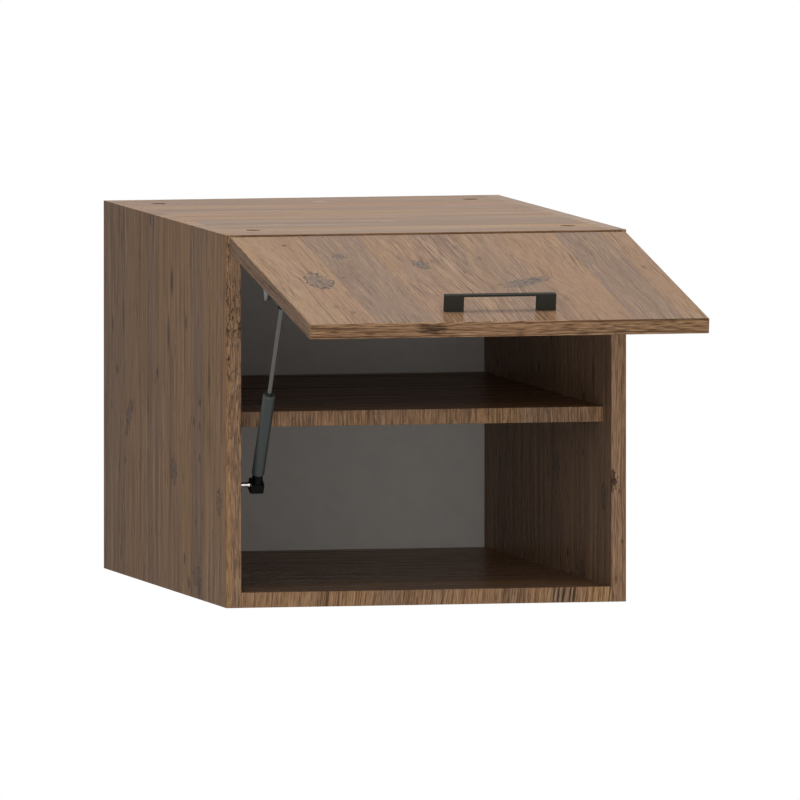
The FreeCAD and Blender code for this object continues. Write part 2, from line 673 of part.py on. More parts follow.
def handle():
    """A bridge of one thin bar on two square feet, with blind holes for its screws."""
    bridge = new_body("handle")
    profile = sketch_on(bridge, "XY_Plane", "handle_z - handle_depth / 2")
    half = "handle_length / 2"
    gap = "(handle_length / 2 - handle_foot)"
    outline(profile, [
        (f"-{half}", "flap_outer"), (f"-{half}", "handle_top"), (half, "handle_top"), (half, "flap_outer"),
        (gap, "flap_outer"), (gap, "handle_top + handle_bar"), (f"-{gap}", "handle_top + handle_bar"),
        (f"-{gap}", "flap_outer")])
    pad(bridge, profile, "handle_depth")
    holes = sketch_on(bridge, "XZ_Plane", "-flap_outer")
    for sign in ("-", ""):
        circle(holes, f"{sign}handle_spacing / 2", "handle_z", "handle_screw_radius + drill_play")
    pocket(bridge, holes, "handle_screw_grip + drill_play", along_normal=True)
    document.recompute()
    front = bridge.Shape.BoundBox.YMin

    def outer_rim(edge):
        return abs(edge.CenterOfMass.y - front) < 0.01

    round_edges(bridge, outer_rim, "handle_round")
    node(place_on_flap(bridge), "handle")


def handle_screws():
    screw = turned("handle_screw", [
        ("0", "-flap_thickness - handle_screw_grip"),
        ("handle_screw_radius", "-flap_thickness - handle_screw_grip"),
        ("handle_screw_radius", "0"), ("handle_screw_head_radius", "0"),
        ("handle_screw_head_radius", "handle_screw_head * 0.6"),
        ("handle_screw_head_radius * 0.6", "handle_screw_head"), ("0", "handle_screw_head")])
    place_on_flap(screw, "-handle_spacing / 2", "pivot_depth", "handle_z", "90")
    node(both_sides("handle_screws", [screw]), "handle_screws")


def door_bumpers():
    bumper = turned("door_bumper", [
        ("0", "0"), ("bumper_radius", "0"), ("bumper_radius", "bumper_height * 0.5"),
        ("bumper_radius * 0.7", "bumper_height"), ("0", "bumper_height")])
    place_on_flap(bumper, "board / 2 - half_width", "pivot_depth", "flap_bottom + bumper_inset", "90")
    node(both_sides("door_bumpers", [bumper]), "door_bumpers")


# Hinges: a cup in the flap turns on its pin in the knuckle of an arm under the top panel

def wood_screw(name):
    """A pan-head screw, its head above and its shank below the face that it sits on."""
    return turned(name, [
        ("0", "-screw_length"), ("screw_radius * 0.5", "-screw_length"),
        ("screw_radius", "-screw_length * 0.8"),
        ("screw_radius", "0"), ("screw_head_radius", "0"), ("screw_head_radius", "screw_head * 0.4"),
        ("screw_head_radius * 0.6", "screw_head"), ("0", "screw_head")])


def hinge_cups():
    cup = turned("hinge_cup_left", [
        ("0", "-cup_depth"), ("cup_radius", "-cup_depth"), ("cup_radius", "0"),
        ("cup_radius + rim_width", "0"),
        ("cup_radius + rim_width", "rim_thickness"), ("cup_radius - cup_wall", "rim_thickness"),
        ("cup_radius - cup_wall", "cup_floor - cup_depth"), ("0", "cup_floor - cup_depth")])
    wings = sketch_on(cup, "XY_Plane")
    low = "(cup_screw_offset - wing_width / 2)"
    high = "(cup_screw_offset + wing_width / 2)"
    nose = "(wing_span / 2)"
    shoulder = "(wing_span / 2 - wing_width / 4)"
    outline(wings, [(f"-{shoulder}", low), (shoulder, low), (nose, f"{low} + wing_width / 4"),
                    (nose, f"{high} - wing_width / 4"), (shoulder, high), (f"-{shoulder}", high),
                    (f"-{nose}", f"{high} - wing_width / 4"), (f"-{nose}", f"{low} + wing_width / 4")])
    pad(cup, wings, "rim_thickness")
    mouth = sketch_on(cup, "XY_Plane", "rim_thickness")
    circle(mouth, "0", "0", "cup_radius - cup_wall")
    pocket(cup, mouth, "rim_thickness")
    holes = sketch_on(cup, "XY_Plane", "rim_thickness")
    for sign in ("-", ""):
        circle(holes, f"{sign}cup_screw_spacing / 2", "cup_screw_offset", "screw_radius + drill_play")
    pocket(cup, holes, "rim_thickness")
    lugs = sketch_on(cup, "XY_Plane", "cup_floor / 2 - cup_depth")
    near = "(neck_width / 2 + lug_gap)"
    far = "(neck_width / 2 + lug_gap + lug_width)"
    back = "(-pivot_to_cup - hinge_pin_radius)"
    front = "(-pivot_to_cup + hinge_pin_radius + 2 * lug_wall)"
    rectangle(lugs, near, back, far, front)
    rectangle(lugs, f"-{far}", back, f"-{near}", front)
    pad(cup, lugs, "cup_depth - cup_floor / 2 - pivot_depth + hinge_pin_radius + lug_wall")
    eye = sketch_on(cup, "YZ_Plane")
    circle(eye, "-pivot_to_cup", "-pivot_depth", "hinge_pin_radius + press_play")
    pocket(cup, eye, f"2 * {far}", both_ways=True)
    place_on_flap(cup, "-hinge_x", "pivot_depth", "cup_z", "90")
    node(cup, "hinge_cup_left")
    node(mirrored("hinge_cup_right", cup), "hinge_cup_right")


def hinge_pins():
    half = "(neck_width / 2 + lug_gap + lug_width)"
    pin = bore("hinge_pin", f"-hinge_x - {half}", "hinge_y", "hinge_z", "+x",
               "hinge_pin_radius", f"2 * {half}")
    node(both_sides("hinge_pins", [pin]), "hinge_pins")


def hinge_cup_screws():
    screws = []
    for end in ("-", "+"):
        screw = wood_screw("hinge_cup_screw")
        screws.append(place_on_flap(screw, f"-hinge_x {end} cup_screw_spacing / 2",
                                    "pivot_depth + rim_thickness", "cup_z - cup_screw_offset", "90"))
    node(both_sides("hinge_cup_screws", screws), "hinge_cup_screws")


def hinge_arms():
    """A knuckle on the pin, a neck that bends under the open flap's edge, and a body under the plate."""
    arm = new_body("hinge_arm_left")
    half = "neck_thickness / 2"
    neck = sketch_on(arm, "YZ_Plane")
    outline(neck, [(f"-{half}", "0"), (f"-{half}", f"-neck_drop - {half}"),
                   ("arm_front + neck_thickness", f"-neck_drop - {half}"),
                   ("arm_front + neck_thickness", f"-neck_drop + {half}"),
                   (half, f"-neck_drop + {half}"), (half, "0")])
    pad(arm, neck, "neck_width", both_ways=True)
    document.recompute()
    lowest = arm.Shape.BoundBox.ZMin

    def outer_bend(edge):
        middle = edge.CenterOfMass
        return runs_along(edge, 0) and middle.z < lowest + 0.01 and middle.y < 0

    round_edges(arm, outer_bend, "neck_thickness")
    knuckle = sketch_on(arm, "YZ_Plane")
    circle(knuckle, "0", "0", "knuckle_radius")
    pad(arm, knuckle, "neck_width", both_ways=True)
    trunk = sketch_on(arm, "YZ_Plane")
    rectangle(trunk, "arm_front", "arm_top - arm_height", "arm_front + arm_length", "arm_top")
    pad(arm, trunk, "arm_width", both_ways=True)
    document.recompute()
    lowest_trunk = arm.Shape.BoundBox.ZMin

    def lower_rim(edge):
        return abs(edge.CenterOfMass.z - lowest_trunk) < 0.01

    round_edges(arm, lower_rim, "arm_round")
    eye = sketch_on(arm, "YZ_Plane")
    circle(eye, "0", "0", "hinge_pin_radius + hinge_pin_fit")
    pocket(arm, eye, "2 * neck_width", both_ways=True)
    place(arm, "-hinge_x", "hinge_y", "hinge_z")
    node(arm, "hinge_arm_left")
    node(mirrored("hinge_arm_right", arm), "hinge_arm_right")


def hinge_plates():
    """A cross-shaped plate on the underside of the top panel."""
    plate = new_body("hinge_plate_left")
    face = sketch_on(plate, "XY_Plane", "-plate_thickness")
    spine = "plate_spine / 2"
    wing = "plate_wing_span / 2"
    middle = "plate_length / 2"
    low = "(plate_length - plate_wing_width) / 2"
    high = "(plate_length + plate_wing_width) / 2"
    outline(face, [(f"-{spine}", "0"), (spine, "0"), (spine, low), (wing, low), (wing, high), (spine, high),
                   (spine, "plate_length"), (f"-{spine}", "plate_length"), (f"-{spine}", high),
                   (f"-{wing}", high), (f"-{wing}", low), (f"-{spine}", low)])
    pad(plate, face, "plate_thickness")
    holes = sketch_on(plate, "XY_Plane")
    for sign in ("-", ""):
        circle(holes, f"{sign}plate_screw_spacing / 2", middle, "screw_radius + drill_play")
    pocket(plate, holes, "plate_thickness")

    def upright(edge):
        return runs_along(edge, 2)

    round_edges(plate, upright, "plate_thickness")
    place(plate, "-hinge_x", "plate_front", "top_underside")
    node(plate, "hinge_plate_left")
    node(mirrored("hinge_plate_right", plate), "hinge_plate_right")


def hinge_plate_screws():
    screws = []
    for end in ("-", "+"):
        screw = wood_screw("hinge_plate_screw")
        screws.append(place(screw, f"-hinge_x {end} plate_screw_spacing / 2", "plate_middle",
                            "top_underside - plate_thickness", Vector(1, 0, 0), "180"))
    node(both_sides("hinge_plate_screws", screws), "hinge_plate_screws")


# Gas strut

def ball_stud(name, foot_radius, thread, centre):
    """A stud along its own Z axis: thread below zero, foot, shank, collar and ball."""
    collar_top = f"({centre} - socket_radius - stud_gap)"
    collar_base = f"({centre} - socket_radius - stud_gap - stud_collar)"
    stud = turned(name, [
        ("0", f"-({thread})"), ("stud_radius", f"-({thread})"), ("stud_radius", "0"), (foot_radius, "0"),
        (foot_radius, "stud_foot"), ("stud_radius", "stud_foot"), ("stud_radius", collar_base),
        ("stud_collar_radius", collar_base), ("stud_collar_radius", collar_top), ("stud_radius", collar_top),
        ("stud_radius", centre), ("0", centre)])
    ball = stud.newObject("PartDesign::AdditiveSphere", f"{name}_ball")
    plane = [feature for feature in stud.Origin.OriginFeatures if feature.Role == "XY_Plane"][0]
    ball.AttachmentSupport = [(plane, "")]
    ball.MapMode = "FlatFace"
    bind(ball, "Radius", "ball_radius")
    bind(ball, "AttachmentOffset.Base.z", centre)
    return stud


def strut_studs():
    lower = ball_stud("strut_lower_stud", "stud_foot_radius", "stud_thread", "stud_stand")
    node(place(lower, "inner_left", "stud_y", "stud_level", Vector(0, 1, 0), "90"), "strut_lower_stud")
    start = "(ear_x + bracket_sheet + stud_gap)"
    upper = ball_stud("strut_upper_stud", "stud_collar_radius", "0", f"(strut_x - {start})")
    node(place(upper, start, "ball_y", "ball_z", Vector(0, 1, 0), "90"), "strut_upper_stud")


def ball_socket(name, end):
    """A moulded block about the ball at its origin, open towards -X, with a round neck towards +Z."""
    socket = new_body(name)
    side = sketch_on(socket, "YZ_Plane")
    outline(side, [
        ("-socket_radius", "socket_waist"), ("-socket_radius", f"socket_chamfer - {end}"),
        ("socket_chamfer - socket_radius", f"-{end}"), ("socket_radius - socket_chamfer", f"-{end}"),
        ("socket_radius", f"socket_chamfer - {end}"), ("socket_radius", "socket_waist")])
    pad(socket, side, "2 * socket_radius", both_ways=True)
    shoulder = "socket_radius - socket_chamfer / 2"
    turn(socket, [("0", "0"), (shoulder, "0"), (shoulder, "socket_waist"), ("socket_neck_radius", "socket_neck"),
                  ("0", "socket_neck")])
    hollow = socket.newObject("PartDesign::SubtractiveSphere", f"{name}_hollow")
    plane = [feature for feature in socket.Origin.OriginFeatures if feature.Role == "XY_Plane"][0]
    hollow.AttachmentSupport = [(plane, "")]
    hollow.MapMode = "FlatFace"
    bind(hollow, "Radius", "ball_radius + ball_fit")
    document.recompute()
    mouth = sketch_on(socket, "YZ_Plane")
    circle(mouth, "0", "0", "stud_collar_radius + ball_fit")
    pocket(socket, mouth, "2 * socket_radius")
    return socket


def strut_sockets():
    node(place_on_strut(ball_socket("strut_lower_socket", "socket_end")), "strut_lower_socket")
    upper = ball_socket("strut_upper_socket", "upper_socket_end")
    place(upper, "strut_x", "ball_y", "ball_z", Vector(1, 0, 0), "strut_lean + 180 deg")
    node(upper, "strut_upper_socket")


def strut_cylinder():
    tube = turned("strut_cylinder", [
        ("0", "socket_neck"), ("tube_radius - tube_crimp", "socket_neck"),
        ("tube_radius", "socket_neck + tube_crimp"), ("tube_radius", "tube_top - tube_crimp"),
        ("tube_radius - tube_crimp * 0.5", "tube_top - tube_crimp * 0.2"),
        ("tube_bore", "tube_top"), ("tube_bore", "socket_neck + tube_floor"),
        ("0", "socket_neck + tube_floor")])
    node(place_on_strut(tube), "strut_cylinder")


def strut_rod_guide():
    guide = turned("strut_rod_guide", [
        ("rod_radius + slide_fit", "guide_base"), ("tube_bore - slide_fit", "guide_base"),
        ("tube_bore - slide_fit", "guide_base + guide_length"),
        ("rod_radius + slide_fit", "guide_base + guide_length")])
    node(place_on_strut(guide), "strut_rod_guide")


def strut_rod_and_piston():
    rod = bore("strut_rod_blank", "0", "0", "0", "+z", "rod_radius", "strut_open - socket_neck - piston_base")
    bind(rod, "Placement.Base.z", "piston_base")
    node(place_on_strut(group("strut_rod", [rod])), "strut_rod")
    piston = turned("strut_piston", [
        ("rod_radius + press_play", "piston_base"), ("tube_bore - strut_play", "piston_base"),
        ("tube_bore - strut_play", "piston_base + piston_height"),
        ("rod_radius + press_play", "piston_base + piston_height")])
    node(place_on_strut(piston), "strut_piston")


def strut_flap_bracket():
    """An angle of sheet steel: a base screwed to the flap and an ear that carries the upper ball stud."""
    bracket = new_body("strut_flap_bracket")
    base = sketch_on(bracket, "XZ_Plane", "-pivot_depth - bracket_sheet")
    rectangle(base, "ear_x", "bracket_z - bracket_length / 2", "ear_x + bracket_base",
              "bracket_z + bracket_length / 2")
    pad(bracket, base, "bracket_sheet")
    ear = sketch_on(bracket, "YZ_Plane", "ear_x")
    tip = "(bracket_y + bracket_tip)"
    chamfer = "(bracket_y + bracket_tip / 2)"
    outline(ear, [("pivot_depth", "bracket_z - bracket_length / 2"), (chamfer, "bracket_z - bracket_tip"),
                  (tip, "bracket_z - bracket_tip / 2"), (tip, "bracket_z + bracket_tip / 2"),
                  (chamfer, "bracket_z + bracket_tip"), ("pivot_depth", "bracket_z + bracket_length / 2")])
    pad(bracket, ear, "bracket_sheet")
    holes = sketch_on(bracket, "XZ_Plane", "-pivot_depth - bracket_sheet")
    for end in ("-", "+"):
        circle(holes, "ear_x + bracket_sheet + (bracket_base - bracket_sheet) / 2",
               f"bracket_z {end} bracket_screw_spacing / 2", "screw_radius + drill_play")
    pocket(bracket, holes, "bracket_sheet", along_normal=True)
    node(place_on_flap(bracket), "strut_flap_bracket")


def strut_bracket_screws():
    screws = []
    for end in ("-", "+"):
        screw = wood_screw("strut_bracket_screw")
        screws.append(place_on_flap(screw, "ear_x + bracket_sheet + (bracket_base - bracket_sheet) / 2",
                                    "pivot_depth + bracket_sheet",
                                    f"bracket_z {end} bracket_screw_spacing / 2", "90"))
    node(group("strut_bracket_screws", screws), "strut_bracket_screws")


# Hangers in the top rear corners

def hanger_housings():
    housing = bar("hanger_housing_left",
                  ("inner_left", "hanger_rear - hanger_depth", "hanger_top - hanger_height"),
                  ("inner_left + hanger_width", "hanger_rear", "hanger_top"))
    document.recompute()
    inner = housing.Shape.BoundBox.XMax

    def inner_rim(edge):
        return abs(edge.CenterOfMass.x - inner) < 0.01

    round_edges(housing, inner_rim, "hanger_round")
    slot = sketch_on(housing, "XZ_Plane", "-hanger_rear")
    half = "(hook_width / 2 + hook_play)"
    rectangle(slot, f"hook_x - {half}", "hook_top - hook_thickness - hook_play", f"hook_x + {half}",
              "hook_top + hook_play")
    pocket(housing, slot, "hook_grip + hook_play", along_normal=True)
    adjusters = sketch_on(housing, "XZ_Plane", "hanger_depth - hanger_rear")
    for end in ("-", "+"):
        circle(adjusters, "hook_x", f"hanger_middle {end} hanger_height / 4", "adjuster_radius")
    pocket(housing, adjusters, "adjuster_depth")
    screw_holes = sketch_on(housing, "YZ_Plane", "inner_left + hanger_width")
    for end in ("-", "+"):
        circle(screw_holes, f"hanger_middle_y {end} hanger_screw_spacing / 2", "hanger_middle",
               "screw_radius + drill_play")
    pocket(housing, screw_holes, "hanger_width")
    seats = sketch_on(housing, "YZ_Plane", "inner_left + hanger_width")
    for end in ("-", "+"):
        circle(seats, f"hanger_middle_y {end} hanger_screw_spacing / 2", "hanger_middle",
               "screw_head_radius + drill_play")
    pocket(housing, seats, "hanger_width - 2 * screw_head")
    node(housing, "hanger_housing_left")
    node(mirrored("hanger_housing_right", housing), "hanger_housing_right")


def hanger_hooks():
    """A steel strip out of the housing through the back panel's window, bent down at the wall plane."""
    hook = new_body("hanger_hook_left")
    profile = sketch_on(hook, "YZ_Plane", "hook_x")
    rear = "-back_recess"
    outline(profile, [("hanger_rear - hook_grip", "hook_top"), (rear, "hook_top"),
                      (rear, "hook_top - hook_lip"),
                      (f"{rear} - hook_thickness", "hook_top - hook_lip"),
                      (f"{rear} - hook_thickness", "hook_top - hook_thickness"),
                      ("hanger_rear - hook_grip", "hook_top - hook_thickness")])
    pad(hook, profile, "hook_width", both_ways=True)
    node(hook, "hanger_hook_left")
    node(mirrored("hanger_hook_right", hook), "hanger_hook_right")


def hanger_screws():
    screws = []
    for end in ("-", "+"):
        screw = turned("hanger_screw", [
            ("0", "-screw_length - 2 * screw_head"), ("screw_radius", "-screw_length - 2 * screw_head"),
            ("screw_radius", "0"), ("screw_head_radius", "0"), ("screw_head_radius", "screw_head * 0.4"),
            ("screw_head_radius * 0.6", "screw_head"), ("0", "screw_head")])
        screws.append(place(screw, "inner_left + 2 * screw_head",
                            f"hanger_middle_y {end} hanger_screw_spacing / 2", "hanger_middle",
                            Vector(0, 1, 0), "90"))
    node(both_sides("hanger_screws", screws), "hanger_screws")


MAKERS = [
    side_panels, top_and_bottom_panels, back_panel, shelf, carcass_bands,
    cam_locks, connecting_bolts, wood_dowels, shelf_pins,
    flap_panel, flap_bands, handle, handle_screws, door_bumpers,
    hinge_cups, hinge_pins, hinge_cup_screws, hinge_arms, hinge_plates, hinge_plate_screws,
    strut_studs, strut_sockets, strut_cylinder, strut_rod_guide, strut_rod_and_piston,
    strut_flap_bracket, strut_bracket_screws,
    hanger_housings, hanger_hooks, hanger_screws,
]

for maker in MAKERS:
    maker()
document.recompute()

failed = [item.Name for item in document.Objects if "Invalid" in item.State or "Error" in item.State]
if failed:
    raise RuntimeError(f"features that failed: {failed}")
for item in NODES:
    if item.Shape.isNull() or not item.Shape.isValid() or not item.Shape.Solids:
        raise RuntimeError(f"{item.Label}: no valid solid")

os.makedirs("parts", exist_ok=True)
for item in NODES:
    item.Shape.exportStep(f"parts/{item.Label}.step")
print(f"{len(NODES)} sub-parts, {sum(len(item.Shape.Solids) for item in NODES)} solids")
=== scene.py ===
import json
import math
from typing import NamedTuple

import bpy
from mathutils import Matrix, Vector

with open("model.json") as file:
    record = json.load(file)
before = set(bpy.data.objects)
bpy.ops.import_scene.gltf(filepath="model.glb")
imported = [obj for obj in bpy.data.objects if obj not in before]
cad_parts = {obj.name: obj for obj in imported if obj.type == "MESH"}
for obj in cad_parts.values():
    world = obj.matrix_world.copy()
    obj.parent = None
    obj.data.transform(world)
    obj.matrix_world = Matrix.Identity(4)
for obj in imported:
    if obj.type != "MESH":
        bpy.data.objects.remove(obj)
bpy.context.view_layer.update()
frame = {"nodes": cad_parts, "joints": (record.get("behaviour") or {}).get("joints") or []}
nodes = frame["nodes"]

MM = 0.001

# The flap's hinge axis, and the angle at rest from which it turns to closed
flap_hinge = next(joint for joint in frame["joints"] if joint["name"] == "flap_hinge")
HINGE = flap_hinge["pos_m"]
OPEN_ANGLE = math.radians(flap_hinge["range_deg"][1])
# The flap's left edge, and when it is closed its hinge edge's height over the axis, in millimetres
FLAP_LEFT = -198
FLAP_TOP = 6.6

# Places of a mix node's colour sockets among its inputs and outputs
MIX_SHARE = 0
MIX_FIRST = 6
MIX_SECOND = 7
MIX_RESULT = 2


# Materials as node graphs

def srgb(red, green, blue):
    """Linear colour of an 8-bit display colour."""
    def linear(channel):
        share = channel / 255
        return share / 12.92 if share <= 0.04045 else ((share + 0.055) / 1.055) ** 2.4
    return (linear(red), linear(green), linear(blue), 1.0)


class Graph:
    """A material's node tree with short calls for the nodes that the looks below need."""

    def __init__(self, name):
        self.material = bpy.data.materials.new(name)
        self.material.use_nodes = True
        self.tree = self.material.node_tree
        self.shader = self.tree.nodes["Principled BSDF"]

    def add(self, kind, **settings):
        made = self.tree.nodes.new(kind)
        for key, value in settings.items():
            setattr(made, key, value)
        return made

    def put(self, socket, value):
        """Links an output to a socket, or sets the socket's own value."""
        if isinstance(value, bpy.types.NodeSocket):
            self.tree.links.new(value, socket)
        else:
            socket.default_value = value

    def fill(self, made, values):
        """Puts values into a node's first sockets, in order."""
        for socket, value in zip(made.inputs, values):
            self.put(socket, value)
        return made.outputs[0]

    def math(self, operation, *values):
        return self.fill(self.add("ShaderNodeMath", operation=operation), values)

    def plus(self, first, second):
        return self.math("ADD", first, second)

    def minus(self, first, second):
        return self.math("SUBTRACT", first, second)

    def times(self, first, second):
        return self.math("MULTIPLY", first, second)

    def over(self, first, second):
        return self.math("DIVIDE", first, second)

    def scaled(self, value, factor, offset):
        """The value times a factor, plus an offset."""
        return self.math("MULTIPLY_ADD", value, factor, offset)

    def larger(self, first, second):
        return self.math("MAXIMUM", first, second)

    def size(self, value):
        """The value without its sign."""
        return self.math("ABSOLUTE", value)

    def step(self, value, start, full, least=0.0, most=1.0):
        """Goes smoothly from least, where the value is at start, to most, where it is at full."""
        made = self.add("ShaderNodeMapRange", interpolation_type="SMOOTHSTEP")
        return self.fill(made, (value, start, full, least, most))

    def vector(self, x, y, z=0.0):
        return self.fill(self.add("ShaderNodeCombineXYZ"), (x, y, z))

    def parts(self, vector):
        made = self.add("ShaderNodeSeparateXYZ")
        self.put(made.inputs[0], vector)
        return made.outputs

    def object_axes(self, on_flap=False):
        """The three object coordinates, turned into the closed flap's frame where asked."""
        place = self.add("ShaderNodeTexCoord").outputs["Object"]
        if on_flap:
            turn = self.add("ShaderNodeMapping", vector_type="TEXTURE")
            turn.inputs["Location"].default_value = HINGE
            turn.inputs["Rotation"].default_value = (-OPEN_ANGLE, 0, 0)
            self.put(turn.inputs["Vector"], place)
            place = turn.outputs[0]
        return self.parts(place)

    def up_or_down(self):
        """How far the surface looks up or down, from 0 to 1."""
        normal = self.add("ShaderNodeTexCoord").outputs["Normal"]
        return self.size(self.parts(normal)[2])

    def noise(self, vector, detail=3.0, roughness=0.55):
        made = self.add("ShaderNodeTexNoise")
        self.put(made.inputs["Vector"], vector)
        self.put(made.inputs["Scale"], 1.0)
        self.put(made.inputs["Detail"], detail)
        self.put(made.inputs["Roughness"], roughness)
        return made.outputs["Fac"]

    def mix(self, share, first, second, blend="MIX"):
        made = self.add("ShaderNodeMix", data_type="RGBA", blend_type=blend)
        self.put(made.inputs[MIX_SHARE], share)
        self.put(made.inputs[MIX_FIRST], first)
        self.put(made.inputs[MIX_SECOND], second)
        return made.outputs[MIX_RESULT]

    def bump(self, height, strength, distance):
        made = self.add("ShaderNodeBump")
        self.put(made.inputs["Strength"], strength)
        self.put(made.inputs["Distance"], distance)
        self.put(made.inputs["Height"], height)
        self.put(self.shader.inputs["Normal"], made.outputs[0])

    def finish(self, colour, roughness, metallic=0.0, specular=0.5):
        self.put(self.shader.inputs["Base Color"], colour)
        self.put(self.shader.inputs["Roughness"], roughness)
        self.put(self.shader.inputs["Metallic"], metallic)
        self.put(self.shader.inputs["Specular IOR Level"], specular)
        return self.material


def dress(name, material):
    """Gives a node its material."""
    slots = nodes[name].data.materials
    slots.clear()
    slots.append(material)


# Colours of the wood

TAN = srgb(153, 118, 87)
PALE = srgb(176, 142, 110)
OCHRE = srgb(158, 122, 80)
RUST = srgb(148, 106, 80)
GREY = srgb(133, 107, 87)
DARK = srgb(104, 76, 55)
BLACKENED = srgb(52, 40, 33)
BLUE_GREY = srgb(95, 86, 81)
BROWN_KNOT = srgb(66, 50, 41)
# Pale colour of painted highlights: glints where light catches a surface seen at a grazing angle
PAINTED_GLINT = srgb(194, 170, 148)


# Layers of the wood

class Layer(NamedTuple):
    """A noise: its repeats per metre across and along the grain, its detail, roughness and offset."""
    across: float
    along: float
    detail: float = 2.0
    rough: float = 0.55
    offset: float = 0.0


class Tint(NamedTuple):
    """A colour that a noise lays on, from none at its start to its most where the noise is at full."""
    colour: tuple
    start: float
    full: float
    most: float = 1.0


WANDER = Layer(8, 3)
WANDER_REACH = 12 * MM
BEND = Layer(30, 9)
BEND_REACH = 3 * MM

BROAD = Layer(12, 3)
BROAD_WEIGHT = 1.3
BLOTCH = Layer(35, 7, detail=3.0, rough=0.6, offset=23)
BLOTCH_WEIGHT = 1.2
GREY_LEVELS = (1.05, 2.15)
PALE_PLANK = Tint(PALE, -0.1, -1.3, 0.9)
DARK_PLANK = Tint(DARK, 1.9, 2.9, 0.7)
# Share of its warm tints that a fully grey plank loses
WARMTH_LOST = 0.85
WARM = Layer(45, 2)
WARM_TINT = Tint(OCHRE, 0.45, 0.7, 0.75)
RED = Layer(40, 1.6, offset=31)
RED_TINT = Tint(RUST, 0.48, 0.7, 0.45)

STREAK = Layer(110, 4, detail=4.0, rough=0.62)
STREAK_TINTS = (Tint(PALE, 0.48, 0.28), Tint(DARK, 0.52, 0.72))
STREAK_GLOSS = (0.3, 0.7)
PATCH = Layer(25, 8, offset=17)
PATCH_LEVELS = (0.35, 0.62)
LINE = Layer(330, 7, detail=3.0, rough=0.62)
LINE_TINTS = (Tint(PALE, 0.47, 0.3), Tint(DARK, 0.5, 0.7))
PORE = Layer(820, 16, rough=0.6)
PORE_TINTS = (Tint(PALE, 0.47, 0.34), Tint(DARK, 0.52, 0.66))
# Pores keep this share on a plank without lines
PORE_LEAST = 0.4

FIBRE = Layer(1150, 60, offset=7)
FIBRE_TINTS = (Tint(BLACKENED, 0.5, 0.64), Tint(PALE, 0.48, 0.36))
CRACK = Layer(680, 4, detail=1.0, rough=0.5, offset=41)
CRACK_FADE = 0.08
FLECK = Layer(230, 32, rough=0.6, offset=53)
FLECK_TINT = Tint(BLACKENED, 0.62, 0.72)
WORM = Layer(560, 70, rough=0.6)
WORM_RIDGE = (0.05, 0.01)
WORM_PATCH = Layer(90, 25, offset=12)
WORM_PATCH_LEVELS = (0.3, 0.52)
WORM_LEAST = 0.2
NOISE_MIDDLE = 0.5

# A knot's noises repeat per radius, and its levels are distances in radii or levels of its specks
KNOT_RAGS = Layer(1.6, 1.6, detail=4.0, rough=0.65)
KNOT_RAG_DEPTH = 2.2
KNOT_SPECKS = Layer(4.5, 3.0, detail=3.0, rough=0.6)
KNOT_EDGE = (1.1, 0.5)
KNOT_RIM = 0.85
KNOT_RIM_FADE = (0.15, 0.03)
KNOT_RIM_BREAKS = (0.4, 0.58)
KNOT_CORE_SPECKS = (0.54, 0.68)
KNOT_CORE_STRENGTH = 1.3
KNOT_TINT_SPECKS = (0.3, 0.62)
KNOT_TINT_LEAST = 0.45
KNOT_PULL = 0.4
KNOT_SHIFT = 90.0
MARK_EDGE = (1.3, 0.2)

# Relief of the grain, and how far a face looks up or down before it gets the painted shade of an end
GRAIN_BUMP = 0.15
GRAIN_DEPTH = 0.3 * MM
PORE_RELIEF = 0.5
PAINTED_END_SHADE_LEVELS = (0.5, 0.9)

# Roughness at its smoothest and roughest places, as shares of the one that is stated
SMOOTHEST = 0.85
ROUGHEST_WOOD = 1.25
ROUGHEST_GRAIN = 1.15

PLANK = 50 * MM
# A ramp keeps no value below zero, so greyness is stored this much higher
RAMP_ZERO = 2.0
# Offsets of the noise from plank to plank and from sheet to sheet
PLANK_TURN = 0.37
PLANK_SHIFT = 9.0
SHEET_SHIFT = 70.0


class Plank(NamedTuple):
    """A printed plank: its first edge in metres, its greyness and the strength of its lines."""
    edge: float
    grey: float
    lined: float


class Knot(NamedTuple):
    """A knot: its place across and along the grain, radius, stretch along it, slope, and strengths."""
    across: float
    along: float
    radius: float
    stretch: float
    slope: float
    fill: float
    rim: float


class Mark(NamedTuple):
    """A small mark, either a dark dot or a pale painted highlight: its place across and along the grain,
    radius, stretch and depth.
    """
    across: float
    along: float
    radius: float
    stretch: float
    depth: float


